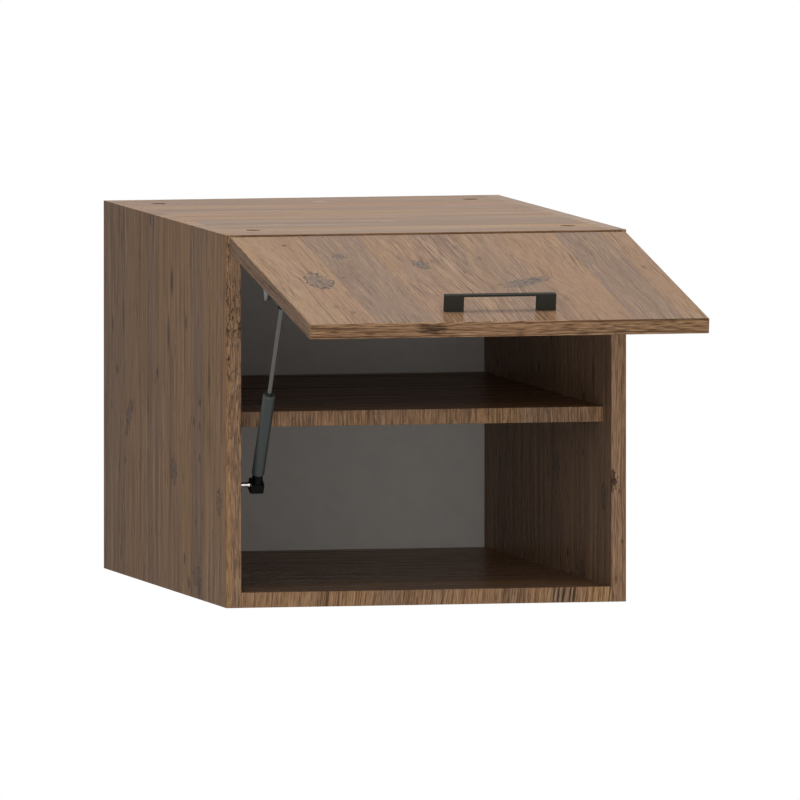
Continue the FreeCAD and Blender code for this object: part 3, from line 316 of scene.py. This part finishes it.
class Wood(Graph):
    """Laminate printed as old planks. across and along name the object axes of its grain."""

    def __init__(self, name, across, along, planks, on_flap, slant):
        super().__init__(name)
        axes = self.object_axes(on_flap)
        self.v = axes["XYZ".index(along)]
        self.u = self.scaled(self.v, slant, axes["XYZ".index(across)])
        self.read_planks(planks)
        wander = self.scaled(self.field(self.u, WANDER), WANDER_REACH, self.u)
        self.bent = self.scaled(self.field(self.u, BEND), BEND_REACH, wander)
        self.knot_fill = 0.0
        self.knot_dark = 0.0

    def read_planks(self, planks):
        """Finds the greyness, the strength of lines and the noise offset of the plank at each place."""
        start = planks[0].edge
        reach = planks[-1].edge - start + PLANK
        ramp = self.add("ShaderNodeValToRGB")
        ramp.color_ramp.interpolation = "CONSTANT"
        stops = ramp.color_ramp.elements
        stops.remove(stops[1])
        for index, plank in enumerate(planks):
            stop = stops[0] if index == 0 else stops.new((plank.edge - start) / reach)
            stop.color = (plank.grey + RAMP_ZERO, plank.lined, index * PLANK_TURN % 1, 1.0)
        self.put(ramp.inputs[0], self.over(self.minus(self.u, start), reach))
        values = self.add("ShaderNodeSeparateColor")
        self.put(values.inputs[0], ramp.outputs[0])
        grey, self.lined, own = values.outputs
        self.grey = self.minus(grey, RAMP_ZERO)
        self.shift = self.scaled(own, PLANK_SHIFT, SHEET_SHIFT * start)

    def field(self, axis, layer):
        """A layer's noise, different on each plank, by a place across the grain, straight or bent."""
        across = self.scaled(axis, layer.across, layer.offset)
        along = self.times(self.v, layer.along)
        return self.noise(self.vector(across, along, self.shift), layer.detail, layer.rough)

    def grain(self, layer):
        """A layer's noise along the bent grain."""
        return self.field(self.bent, layer)

    def spot(self, mark, slope=0.0):
        """Distance from a mark's middle, 1 at its rim, with its parts across and along the grain."""
        across = self.minus(self.u, mark.across)
        along = self.minus(self.v, mark.along)
        if slope:
            along = self.scaled(across, -slope, along)
        du = self.over(across, mark.radius)
        dv = self.over(along, mark.radius * mark.stretch)
        square = self.plus(self.times(du, du), self.times(dv, dv))
        return self.math("SQRT", square), du, dv

    def knot_noise(self, du, dv, place, layer):
        scaled = self.vector(self.times(du, layer.across), self.times(dv, layer.along), place * KNOT_SHIFT)
        return self.noise(scaled, layer.detail, layer.rough)

    def add_knot(self, knot):
        """Bends the grain round a knot, and adds its ragged tint, its broken rim and its dark specks."""
        distance, du, dv = self.spot(knot, knot.slope)
        rags = self.knot_noise(du, dv, knot.across, KNOT_RAGS)
        specks = self.knot_noise(du, dv, knot.along, KNOT_SPECKS)
        middle = self.minus(distance, KNOT_RAG_DEPTH * NOISE_MIDDLE)
        ragged = self.scaled(rags, KNOT_RAG_DEPTH, middle)
        body = self.step(ragged, *KNOT_EDGE)
        rim = self.step(self.size(self.minus(ragged, KNOT_RIM)), *KNOT_RIM_FADE, most=knot.rim)
        rim = self.times(rim, self.step(specks, *KNOT_RIM_BREAKS))
        core_strength = min(1.0, knot.fill * KNOT_CORE_STRENGTH)
        core = self.times(body, self.step(specks, *KNOT_CORE_SPECKS, most=core_strength))
        tint = self.times(body, self.step(specks, *KNOT_TINT_SPECKS, least=KNOT_TINT_LEAST))
        pull = self.over(self.times(du, knot.radius * KNOT_PULL), self.scaled(distance, distance, 1.0))
        self.bent = self.plus(pull, self.bent)
        self.knot_fill = self.larger(self.knot_fill, self.times(tint, knot.fill))
        self.knot_dark = self.larger(self.knot_dark, self.larger(rim, core))

    def mark_share(self, mark):
        return self.step(self.spot(mark)[0], *MARK_EDGE, most=mark.depth)

    def add_dot(self, dot):
        self.knot_dark = self.larger(self.knot_dark, self.mark_share(dot))

    def cover(self, share, colour):
        """Lays a share of a colour over what is there."""
        self.colour = self.mix(share, self.colour, colour)

    def multiply(self, colour):
        return self.mix(1.0, self.colour, colour, "MULTIPLY")

    def lay(self, noise, tints, strength=1.0, where=None):
        """Lays tints over the colour by the levels of a noise, at a strength and in the places given."""
        for tint in tints:
            share = self.step(noise, tint.start, tint.full, most=tint.most * strength)
            if where is not None:
                share = self.times(share, where)
            self.cover(share, tint.colour)

    def colour_planks(self):
        """Gives each plank its tan, grey, pale or dark colour, with ochre and rust where it isn't grey."""
        blotches = self.scaled(self.field(self.u, BLOTCH), BLOTCH_WEIGHT, self.grey)
        level = self.scaled(self.field(self.u, BROAD), BROAD_WEIGHT, blotches)
        greyness = self.step(level, *GREY_LEVELS)
        self.colour = self.mix(greyness, TAN, GREY)
        self.lay(self.grey, (PALE_PLANK, DARK_PLANK))
        warmth = self.scaled(greyness, -WARMTH_LOST, 1.0)
        self.lay(self.grain(WARM), (WARM_TINT,), where=warmth)
        self.lay(self.grain(RED), (RED_TINT,), where=warmth)

    def add_worm(self, strength, fade):
        """Draws worm marks along the ridges of a noise, in patches."""
        ridge = self.size(self.minus(self.grain(WORM), NOISE_MIDDLE))
        places = self.step(self.field(self.u, WORM_PATCH), *WORM_PATCH_LEVELS, most=strength)
        if fade:
            low, high = fade
            places = self.times(places, self.step(self.v, low * MM, high * MM, least=WORM_LEAST))
        self.cover(self.times(self.step(ridge, *WORM_RIDGE), places), BLACKENED)


def crack_tints(level):
    """Cracks that start at a level of their noise, first dark and then blackened."""
    middle = level + CRACK_FADE
    return Tint(DARK, level, middle), Tint(BLACKENED, middle, middle + CRACK_FADE)


def wood(name, across, along, planks, on_flap=False, slant=0.0, knots=(), dots=(), painted_glints=(),
         knot_tint=BLUE_GREY, tone_and_painted_light=1.0, streaks=0.35, lines=0.65, fineness=LINE.across, pores=0.4,
         calm=0.35, fibres=0.0, cracks=0.0, crack_level=0.54, flecks=0.0, worm=0.0, worm_fade=None,
         gloss=0.015, roughness=0.16, painted_end_shade=None):
    """Material of a board or an edge band. streaks, lines, pores, fibres, cracks, flecks and worm are the
    strengths of its layers, fineness its lines per metre, calm the strength of lines in calm patches, and
    crack_level the noise from which a crack starts. Its tone sets its brightness, which is partly painted
    light and shade. Worm marks grow to their full strength between the two places of worm_fade, in
    millimetres along the grain. The end tint lays painted shade on the faces that look up or down, darker
    and warmer against their stronger sheen."""
    laminate = Wood(name, across, along, planks, on_flap, slant)
    for knot in knots:
        laminate.add_knot(knot)
    for dot in dots:
        laminate.add_dot(dot)
    laminate.colour_planks()

    streak = laminate.grain(STREAK)
    line = laminate.grain(LINE._replace(across=fineness))
    pore = laminate.grain(PORE)
    patches = laminate.step(laminate.field(laminate.u, PATCH), *PATCH_LEVELS, least=calm)
    pored = laminate.scaled(laminate.lined, 1 - PORE_LEAST, PORE_LEAST)
    laminate.lay(streak, STREAK_TINTS, streaks)
    laminate.lay(line, LINE_TINTS, lines, laminate.times(patches, laminate.lined))
    laminate.lay(pore, PORE_TINTS, pores, laminate.times(patches, pored))
    if fibres:
        laminate.lay(laminate.grain(FIBRE), FIBRE_TINTS, fibres)
    if cracks:
        crack = laminate.grain(CRACK._replace(across=max(CRACK.across, fineness)))
        laminate.lay(crack, crack_tints(crack_level), cracks)
    if flecks:
        laminate.lay(laminate.grain(FLECK), (FLECK_TINT,), flecks)
    if worm:
        laminate.add_worm(worm, worm_fade)
    # Pale glints are painted highlights laid into the colour
    for painted_glint in painted_glints:
        laminate.cover(laminate.mark_share(painted_glint), PAINTED_GLINT)
    if knots:
        laminate.cover(laminate.knot_fill, knot_tint)
    if knots or dots:
        laminate.cover(laminate.knot_dark, BLACKENED)
    # Brightness of the part, partly painted light and shade
    if tone_and_painted_light != 1.0:
        laminate.colour = laminate.multiply((tone_and_painted_light, tone_and_painted_light, tone_and_painted_light, 1.0))
    # Painted shade: faces that look up or down are darkened and warmed against their stronger sheen
    if painted_end_shade:
        laminate.cover(laminate.step(laminate.up_or_down(), *PAINTED_END_SHADE_LEVELS), laminate.multiply(painted_end_shade))

    laminate.bump(laminate.scaled(pore, -PORE_RELIEF, laminate.minus(1.0, line)), GRAIN_BUMP, GRAIN_DEPTH)
    rough = laminate.step(streak, *STREAK_GLOSS, least=roughness * SMOOTHEST, most=roughness * ROUGHEST_WOOD)
    return laminate.finish(laminate.colour, rough, specular=gloss)


# Planks and marks of the printed sheets, with painted highlights among the marks, from places and sizes in
# millimetres

def planks_from(rows, start=0.0):
    """Planks from rows of edge, greyness and strength of lines, with the edges counted from a start."""
    return [Plank((start + edge) * MM, grey, lined) for edge, grey, lined in rows]


def even_planks(start, greys, lined=0.7):
    """Planks of one width from a starting edge."""
    return [Plank(start * MM + PLANK * index, grey, lined) for index, grey in enumerate(greys)]


def knot_at(across, along, radius, stretch, fill, rim, slope=0.0):
    return Knot(across * MM, along * MM, radius * MM, stretch, slope, fill, rim)


def marks(rows):
    """Marks from rows of place across and along the grain, radius, stretch and depth."""
    return [Mark(across * MM, along * MM, radius * MM, stretch, depth)
            for across, along, radius, stretch, depth in rows]


def flap_place(from_left, from_hinge_edge):
    """A place on the closed flap's face, from its distances to the left and hinge edges."""
    return FLAP_LEFT + from_left, FLAP_TOP - from_hinge_edge


FLAP_PLANKS = planks_from(start=FLAP_LEFT, rows=(
    (0, -0.55, 0.9), (20, -0.45, 0.8), (67, 1.2, 0.3), (125, 0.3, 0.8), (173, 0.6, 1.0), (221, 0.4, 0.7),
    (269, -0.2, 0.8), (321, 1.3, 0.3), (371, -0.1, 0.9)))
FLAP_KNOTS = [
    knot_at(*flap_place(47, 181), radius=14, stretch=2.4, fill=0.65, rim=1.0),
    knot_at(*flap_place(250, 199), radius=26, stretch=0.6, fill=0.9, rim=0.5, slope=0.6),
    knot_at(*flap_place(90, 86), radius=6.5, stretch=1.6, fill=0.7, rim=0.8),
    knot_at(*flap_place(162, 125), radius=9, stretch=2.2, fill=0.8, rim=0.7),
]
FLAP_DOTS = marks((*flap_place(from_left, from_hinge_edge), radius, stretch, depth)
                  for from_left, from_hinge_edge, radius, stretch, depth in (
                      (46, 37, 3.0, 1.6, 0.75), (75, 171, 2.0, 1.6, 0.6), (199, 155, 1.5, 5.0, 0.7),
                      (227, 100, 2.2, 4.0, 0.5), (177, 110, 2.5, 2.0, 0.45), (53, 312, 2.6, 3.0, 0.5),
                      (42, 288, 2.6, 2.4, 0.45), (380, 146, 2.6, 2.4, 0.5), (145, 190, 1.6, 1.6, 0.6),
                      (349, 26, 1.3, 9.0, 0.5)))

# One printed sheet covers both sides, with painted reflection making the right one greyer, and another one
# the three level boards
SIDE_START = -600
SIDE_GREYS = (0.1, 0.0, 0.4, 0.7, -0.1, 0.3, 0.1, 1.0, 0.5, 0.4, 0.8, 1.0)
# Painted reflection: greyness added to the right side's planks for the grey back panel seen in its inner
# face
RIGHT_PAINTED_REFLECTION_GREY = 0.8
SIDE_KNOTS = [
    knot_at(-319, 118, radius=13, stretch=1.1, fill=0.75, rim=0.7),
    knot_at(-519, 101, radius=12, stretch=1.1, fill=0.6, rim=1.0),
    knot_at(-117, 160, radius=22, stretch=0.7, fill=0.7, rim=0.6, slope=-0.7),
    knot_at(-422, 22, radius=18, stretch=0.6, fill=0.5, rim=0.8),
]
SIDE_DOTS = marks((
    (-308, 303, 7.79, 2.1, 0.65), (-372, 267, 6.49, 1.4, 0.55), (-243, 210, 4.55, 1.4, 0.75),
    (-213, 359, 4.55, 2.1, 0.65), (-42, 245, 5.19, 1.82, 0.55), (-62, 201, 6.49, 0.98, 0.55),
    (-90, 255, 5.19, 4.2, 0.45), (-294, 251, 6.49, 3.5, 0.65), (-408, 172, 4.55, 1.4, 0.65),
    (-433, 193, 5.19, 0.84, 0.65), (-433, 170, 3.9, 1.4, 0.65), (-433, 139, 3.9, 1.4, 0.65),
    (-475, 218, 5.84, 4.2, 0.55), (-365, 35, 5.19, 1.4, 0.65), (-385, 13, 7.79, 0.98, 0.55),
    (-431, 10, 7.79, 1.4, 0.55), (-98, 114, 3.9, 1.4, 0.55)))
BOARD_GREYS = (0.2, 0.5, 0.1, 0.6, 0.9, 0.3, 0.0, 0.4, 0.7, 0.1, 0.5, 0.3)
# Painted highlights: pale glints on the level boards, where light catches them at a grazing view
BOARD_PAINTED_GLINTS = marks((y, x, 4.5, 2.0, depth) for x, y, depth in (
    (4, -62, 0.8), (154, -83, 0.35), (117, -158, 0.55), (-46, -154, 0.15), (-25, -262, 0.15),
    (-115, -404, 0.3), (-17, -367, 0.25), (2, -371, 0.65)))

LEFT_BAND_PLANKS = planks_from(((-200, -0.3, 0.3), (-196.2, 0.7, 0.7)))
RIGHT_BAND_MARKS = marks((x, z, radius, stretch, 0.65) for x, z, radius, stretch in (
    (193, 108, 1.0, 3.0), (196, 59, 1.4, 1.5), (190, 22, 0.8, 6.0), (187, 6, 1.2, 5.0),
    (195, 211, 0.7, 14.0)))
RIGHT_BAND_KNOT = knot_at(185.2, 118, radius=6, stretch=1.7, fill=1.3, rim=1.0)
SHELF_BAND_GREYS = (0.8, 0.3, 0.4, 0.6, 0.6, 0.3, 0.7, 0.4)
FLAP_BAND_START = -30
FLAP_BAND_STROKES = marks((y, x, 1.2, 7.0, 0.85) for y, x in (
    (-3.5, -84), (-2.0, -70), (-0.5, -80), (0.5, -67), (2.0, -76), (3.5, -85), (5.0, -72)))
FLAP_BAND_KNOT = knot_at(0.5, -76, radius=4.2, stretch=3.4, fill=0.6, rim=0.4)

# The bottom board's band has short upright planks, and at the right a stretch of dark strokes with pale
# painted highlights between them
LOWER_PLANKS = planks_from((
    (-185, 0.2, 0.6), (-140, 0.1, 0.9), (-100, -0.4, 0.5), (-50, 2.1, 0.9), (-27, 2.7, 0.9), (-5, 0.2, 1.1),
    (45, 0.2, 0.7), (75, 2.3, 0.8), (98, 0.0, 0.8), (123, 0.6, 1.6), (150, -0.7, 0.2)))
LOWER_MIDDLE = 8
LOWER_STROKE_LENGTH = 14.0
LOWER_STROKES = marks((x, LOWER_MIDDLE, width, LOWER_STROKE_LENGTH / width, 0.9) for x, width in (
    (126.5, 0.8), (130.8, 1.0), (136.0, 2.0), (142.8, 0.9), (146.6, 1.5)))
# Painted highlights: pale glints between the dark strokes
LOWER_PAINTED_GLINTS = marks((x, LOWER_MIDDLE, 0.8, 12.0, 0.25) for x in (128.7, 133.2, 140.0, 144.6))


# Boards

SIDE = {"knots": SIDE_KNOTS, "dots": SIDE_DOTS, "lines": 0.6, "streaks": 0.8, "pores": 0.9, "flecks": 0.55,
        "roughness": 0.25}
BOARD = {"planks": even_planks(SIDE_START, BOARD_GREYS, lined=0.4), "painted_glints": BOARD_PAINTED_GLINTS, "lines": 0.2,
         "streaks": 0.2, "pores": 0.1, "roughness": 0.28}
# The right side's planks, greyer by painted reflection
RIGHT_GREYS_WITH_PAINTED_REFLECTION = [grey + RIGHT_PAINTED_REFLECTION_GREY for grey in SIDE_GREYS]

dress("flap_panel", wood(
    "oak_flap", "X", "Z", FLAP_PLANKS, on_flap=True, knots=FLAP_KNOTS, dots=FLAP_DOTS, lines=0.45,
    fineness=400, pores=1.0, calm=0.2, cracks=0.7, crack_level=0.63, fibres=0.17, roughness=0.2))
# Painted light and shade by tone: the left side is made lighter, the right side darker
dress("side_panel_left", wood(
    "oak_side_left", "Y", "Z", even_planks(SIDE_START, SIDE_GREYS, lined=0.75), tone_and_painted_light=1.12, gloss=0.002,
    **SIDE))
# Painted shade on the right side's ends, darker and warmer against their stronger sheen
dress("side_panel_right", wood(
    "oak_side_right", "Y", "Z", even_planks(SIDE_START, RIGHT_GREYS_WITH_PAINTED_REFLECTION, lined=0.3), tone_and_painted_light=0.95, gloss=0.014,
    painted_end_shade=(1.0, 0.82, 0.45, 1.0), **SIDE))
# Painted shade by tone: the bottom and the shelf are made darker than the top, though all three share one
# laminate
dress("top_panel", wood("oak_top", "Y", "X", gloss=0.004, **BOARD))
dress("bottom_panel", wood("oak_bottom", "Y", "X", tone_and_painted_light=0.95, gloss=0.012, **BOARD))
dress("shelf", wood("oak_shelf", "Y", "X", tone_and_painted_light=0.82, gloss=0.008, **BOARD))


# Edge bands

BAND = {"knot_tint": BROWN_KNOT, "lines": 1.0, "pores": 0.6, "roughness": 0.3, "gloss": 0.004}
FLAP_BAND = {"on_flap": True, "fineness": 800, "cracks": 0.8, "fibres": 0.4, "tone_and_painted_light": 1.02, **BAND}

# Painted light and shade by tone: most bands are made lighter, the top board's band darker
dress("side_edge_band_left", wood(
    "band_side_left", "X", "Z", LEFT_BAND_PLANKS, tone_and_painted_light=1.2, streaks=0.2, fineness=700, fibres=0.5, worm=1.0,
    worm_fade=(100, 260), **BAND))
dress("side_edge_band_right", wood(
    "band_side_right", "X", "Z", even_planks(160, (0.5,), lined=0.4), tone_and_painted_light=1.28, fineness=640, fibres=0.4,
    cracks=0.35, dots=RIGHT_BAND_MARKS, knots=[RIGHT_BAND_KNOT], **BAND))
dress("top_edge_band", wood(
    "band_top", "Z", "X", even_planks(330, (0.3,)), tone_and_painted_light=0.82, fineness=640, worm=0.4, **BAND))
dress("bottom_edge_band", wood(
    "band_bottom", "X", "Z", LOWER_PLANKS, slant=-0.12, tone_and_painted_light=1.24, fineness=700, fibres=0.5, cracks=0.65,
    dots=LOWER_STROKES, painted_glints=LOWER_PAINTED_GLINTS, **BAND))
dress("shelf_edge_band", wood(
    "band_shelf", "X", "Z", even_planks(-200, SHELF_BAND_GREYS), tone_and_painted_light=1.2, fineness=700, fibres=0.5,
    cracks=0.35, worm=0.4, **BAND))
dress("flap_edge_band_bottom", wood(
    "band_flap_bottom", "Y", "X", even_planks(FLAP_BAND_START, (-0.1,)), on_flap=True, tone_and_painted_light=1.12,
    fineness=900, fibres=0.7, cracks=0.9, dots=FLAP_BAND_STROKES, knots=[FLAP_BAND_KNOT], **BAND))
for edge, along in (("top", "X"), ("left", "Z"), ("right", "Z")):
    band = wood(f"band_flap_{edge}", "Y", along, even_planks(FLAP_BAND_START, (0.3,)), **FLAP_BAND)
    dress(f"flap_edge_band_{edge}", band)


# Other materials

def fibreboard():
    """Light grey lacquered fibreboard with faint mottling."""
    graph = Graph("grey_fibreboard")
    x, y, z = graph.object_axes()

    def mottling(per_metre, detail):
        return graph.noise(graph.vector(graph.times(x, per_metre), graph.times(z, per_metre)), detail)

    cloud = mottling(per_metre=45, detail=4.0)
    speck = mottling(per_metre=160, detail=2.0)
    colour = graph.mix(graph.step(cloud, 0.4, 0.75), srgb(190, 185, 179), srgb(184, 179, 173))
    colour = graph.mix(graph.step(speck, 0.64, 0.78, most=0.16), colour, srgb(150, 146, 140))
    graph.bump(speck, strength=0.1, distance=0.4 * MM)
    return graph.finish(colour, roughness=0.55)


def grained(name, colour, worn, roughness, metallic=1.0, per_metre=900, bump=0.05, specular=0.5):
    """Metal, or with metallic 0 paint, plastic, rubber or raw wood, with fine grain in colour and gloss."""
    graph = Graph(name)
    x, y, z = graph.object_axes()
    place = graph.vector(graph.times(x, per_metre), graph.times(y, per_metre), graph.times(z, per_metre))
    grain = graph.noise(place)
    graph.bump(grain, bump, distance=0.2 * MM)
    shown = graph.mix(graph.step(grain, 0.35, 0.7), colour, worn)
    rough = graph.step(grain, 0.3, 0.7, least=roughness * SMOOTHEST, most=roughness * ROUGHEST_GRAIN)
    return graph.finish(shown, rough, metallic, specular)


def stud_chrome_painted_reflection():
    """Chrome of the stud's round shank with a painted reflection in its colour: bright in the middle, and
    dark on its upper and lower flanks for the dark boards they face.
    """
    graph = Graph("stud_chrome_painted_reflection")
    # Painted reflection: bright in the middle, dark on the upper and lower flanks
    painted_dark_flank = graph.step(graph.up_or_down(), 0.3, 0.75)
    colour = graph.mix(painted_dark_flank, srgb(205, 204, 202), srgb(34, 30, 28))
    return graph.finish(colour, roughness=0.15, metallic=1.0)


ROD_STEEL = grained("rod_steel", srgb(88, 87, 84), srgb(98, 97, 94), roughness=0.32)
DARK_STEEL = grained("dark_steel", srgb(56, 54, 52), srgb(60, 58, 56), roughness=0.5)
ZINC = grained("zinc_plate", srgb(170, 170, 168), srgb(190, 189, 184), roughness=0.35)
DULL_ZINC = grained("dull_zinc_plate", srgb(92, 98, 96), srgb(102, 108, 106), roughness=0.5)
NICKEL = grained("nickel_plate", srgb(188, 186, 181), srgb(204, 202, 198), roughness=0.25)
BLACK_POWDER = grained("black_powder_coat", srgb(51, 49, 45), srgb(57, 55, 51), roughness=0.6, metallic=0.0,
                       per_metre=2200, bump=0.15, specular=0.03)
SLATE_PAINT = grained("slate_paint", srgb(56, 62, 60), srgb(61, 67, 65), roughness=0.38, metallic=0.0,
                      per_metre=500, bump=0.03, specular=0.3)
BLACK_PLASTIC = grained("black_moulding", srgb(8, 8, 7), srgb(12, 12, 11), roughness=0.35, metallic=0.0,
                        per_metre=400, bump=0.03, specular=0.06)
WHITE_PLASTIC = grained("white_moulding", srgb(214, 213, 208), srgb(205, 204, 199), roughness=0.45,
                        metallic=0.0, per_metre=400)
BROWN_CAM = grained("brown_cam", srgb(46, 33, 26), srgb(58, 42, 32), roughness=0.5, metallic=0.0,
                    per_metre=700, bump=0.1, specular=0.02)
PALE_RUBBER = grained("pale_bumper", srgb(205, 205, 200), srgb(196, 196, 190), roughness=0.4, metallic=0.0,
                      per_metre=600)
BEECH = grained("beech", srgb(206, 170, 128), srgb(190, 152, 110), roughness=0.6, metallic=0.0,
                per_metre=300, bump=0.2)

FINISHES = (
    (fibreboard(), ("back_panel",)),
    (BLACK_POWDER, ("handle",)),
    (SLATE_PAINT, ("strut_cylinder", "strut_rod_guide")),
    (ROD_STEEL, ("strut_rod", "strut_piston")),
    (DULL_ZINC, ("strut_flap_bracket",)),
    (stud_chrome_painted_reflection(), ("strut_lower_stud",)),
    (DARK_STEEL, ("strut_upper_stud",)),
    (BLACK_PLASTIC, ("strut_lower_socket", "strut_upper_socket")),
    (ZINC, ("connecting_bolts", "hinge_plate_screws", "hinge_cup_screws", "handle_screws", "hinge_pins",
            "strut_bracket_screws", "hanger_hook_left", "hanger_hook_right", "hanger_screws")),
    (NICKEL, ("shelf_pins", "hinge_plate_left", "hinge_plate_right", "hinge_arm_left", "hinge_arm_right",
              "hinge_cup_left", "hinge_cup_right")),
    (WHITE_PLASTIC, ("hanger_housing_left", "hanger_housing_right")),
    (BROWN_CAM, ("cam_locks_top", "cam_locks_bottom")),
    (PALE_RUBBER, ("door_bumpers",)),
    (BEECH, ("wood_dowels",)),
)
for material, names in FINISHES:
    for name in names:
        dress(name, material)


# Floor, light and camera

def add_to_scene(name, data):
    made = bpy.data.objects.new(name, data)
    bpy.context.scene.collection.objects.link(made)
    return made


def white_to_camera(tree, surface, white_kind):
    """The surface's shader, but pure white for camera, glossy and transmission rays."""
    path = tree.nodes.new("ShaderNodeLightPath")
    seen = path.outputs["Is Camera Ray"]
    for ray in ("Is Glossy Ray", "Is Transmission Ray"):
        either = tree.nodes.new("ShaderNodeMath")
        either.operation = "MAXIMUM"
        tree.links.new(seen, either.inputs[0])
        tree.links.new(path.outputs[ray], either.inputs[1])
        seen = either.outputs[0]
    white = tree.nodes.new(white_kind)
    white.inputs["Color"].default_value = (1, 1, 1, 1)
    white.inputs["Strength"].default_value = 1.0
    chosen = tree.nodes.new("ShaderNodeMixShader")
    tree.links.new(seen, chosen.inputs[0])
    tree.links.new(surface.outputs[0], chosen.inputs[1])
    tree.links.new(white.outputs[0], chosen.inputs[2])
    return chosen.outputs[0]


def make_floor(level, half):
    """A floor that looks white from above, and that the view from beneath looks through."""
    mesh = bpy.data.meshes.new("floor")
    corners = [(-half, -half, level), (half, -half, level), (half, half, level), (-half, half, level)]
    mesh.from_pydata(corners, [], [(0, 1, 2, 3)])
    graph = Graph("floor")
    mesh.materials.append(graph.finish((0.3, 0.3, 0.3, 1), roughness=0.8))
    from_above = white_to_camera(graph.tree, graph.shader, "ShaderNodeEmission")
    beneath = graph.times(graph.add("ShaderNodeNewGeometry").outputs["Backfacing"],
                          graph.add("ShaderNodeLightPath").outputs["Is Camera Ray"])
    see_through = graph.add("ShaderNodeBsdfTransparent").outputs[0]
    shown = graph.fill(graph.add("ShaderNodeMixShader"), (beneath, from_above, see_through))
    graph.put(graph.tree.nodes["Material Output"].inputs["Surface"], shown)
    floor = add_to_scene("floor", mesh)


def make_world(strength):
    """Even light from all round, before a white background."""
    world = bpy.data.worlds.new("studio")
    bpy.context.scene.world = world
    world.use_nodes = True
    tree = world.node_tree
    light = tree.nodes["Background"]
    light.inputs["Color"].default_value = (1, 1, 1, 1)
    light.inputs["Strength"].default_value = strength
    shown = white_to_camera(tree, light, "ShaderNodeBackground")
    tree.links.new(shown, tree.nodes["World Output"].inputs["Surface"])


def softbox(name, place, target, size, power):
    """A round area lamp that faces its target."""
    light = bpy.data.lights.new(name, "AREA")
    light.shape = "DISK"
    light.size = size
    light.energy = power
    lamp = add_to_scene(name, light)
    lamp.location = place
    lamp.rotation_mode = "QUATERNION"
    lamp.rotation_quaternion = (Vector(target) - Vector(place)).to_track_quat("-Z", "Y")


def make_camera(middle, half_width, azimuth, elevation, half_angle, sensor=36):
    """A lens so long that the view is all but parallel, with half of its width in metres at the middle."""
    level = math.cos(elevation)
    back = Vector((math.sin(azimuth) * level, -math.cos(azimuth) * level, math.sin(elevation)))
    data = bpy.data.cameras.new("camera")
    data.sensor_width = sensor
    data.lens = sensor / 2 / math.tan(half_angle)
    data.clip_end = 200
    camera = add_to_scene("camera", data)
    camera.location = Vector(middle) + back * (half_width / math.tan(half_angle))
    camera.rotation_mode = "QUATERNION"
    camera.rotation_quaternion = (-back).to_track_quat("-Z", "Y")
    bpy.context.scene.camera = camera


make_floor(level=-0.45, half=1.8)
make_world(strength=0.25)
softbox("overhead", place=(0.15, -0.75, 2.8), target=(0, -0.5, 0.3), size=2.4, power=51)
softbox("front", place=(-0.8, -4.4, 0.1), target=(0, -0.3, 0.15), size=3.2, power=66)
softbox("left", place=(-2.0, -2.0, 0.9), target=(-0.2, -0.4, 0.2), size=1.5, power=5)
make_camera(middle=(-0.02658, -0.552, 0.2007), half_width=0.38986, azimuth=math.radians(-12.937),
            elevation=math.radians(3.917), half_angle=math.radians(0.6))
bpy.context.scene.view_settings.view_transform = "Standard"
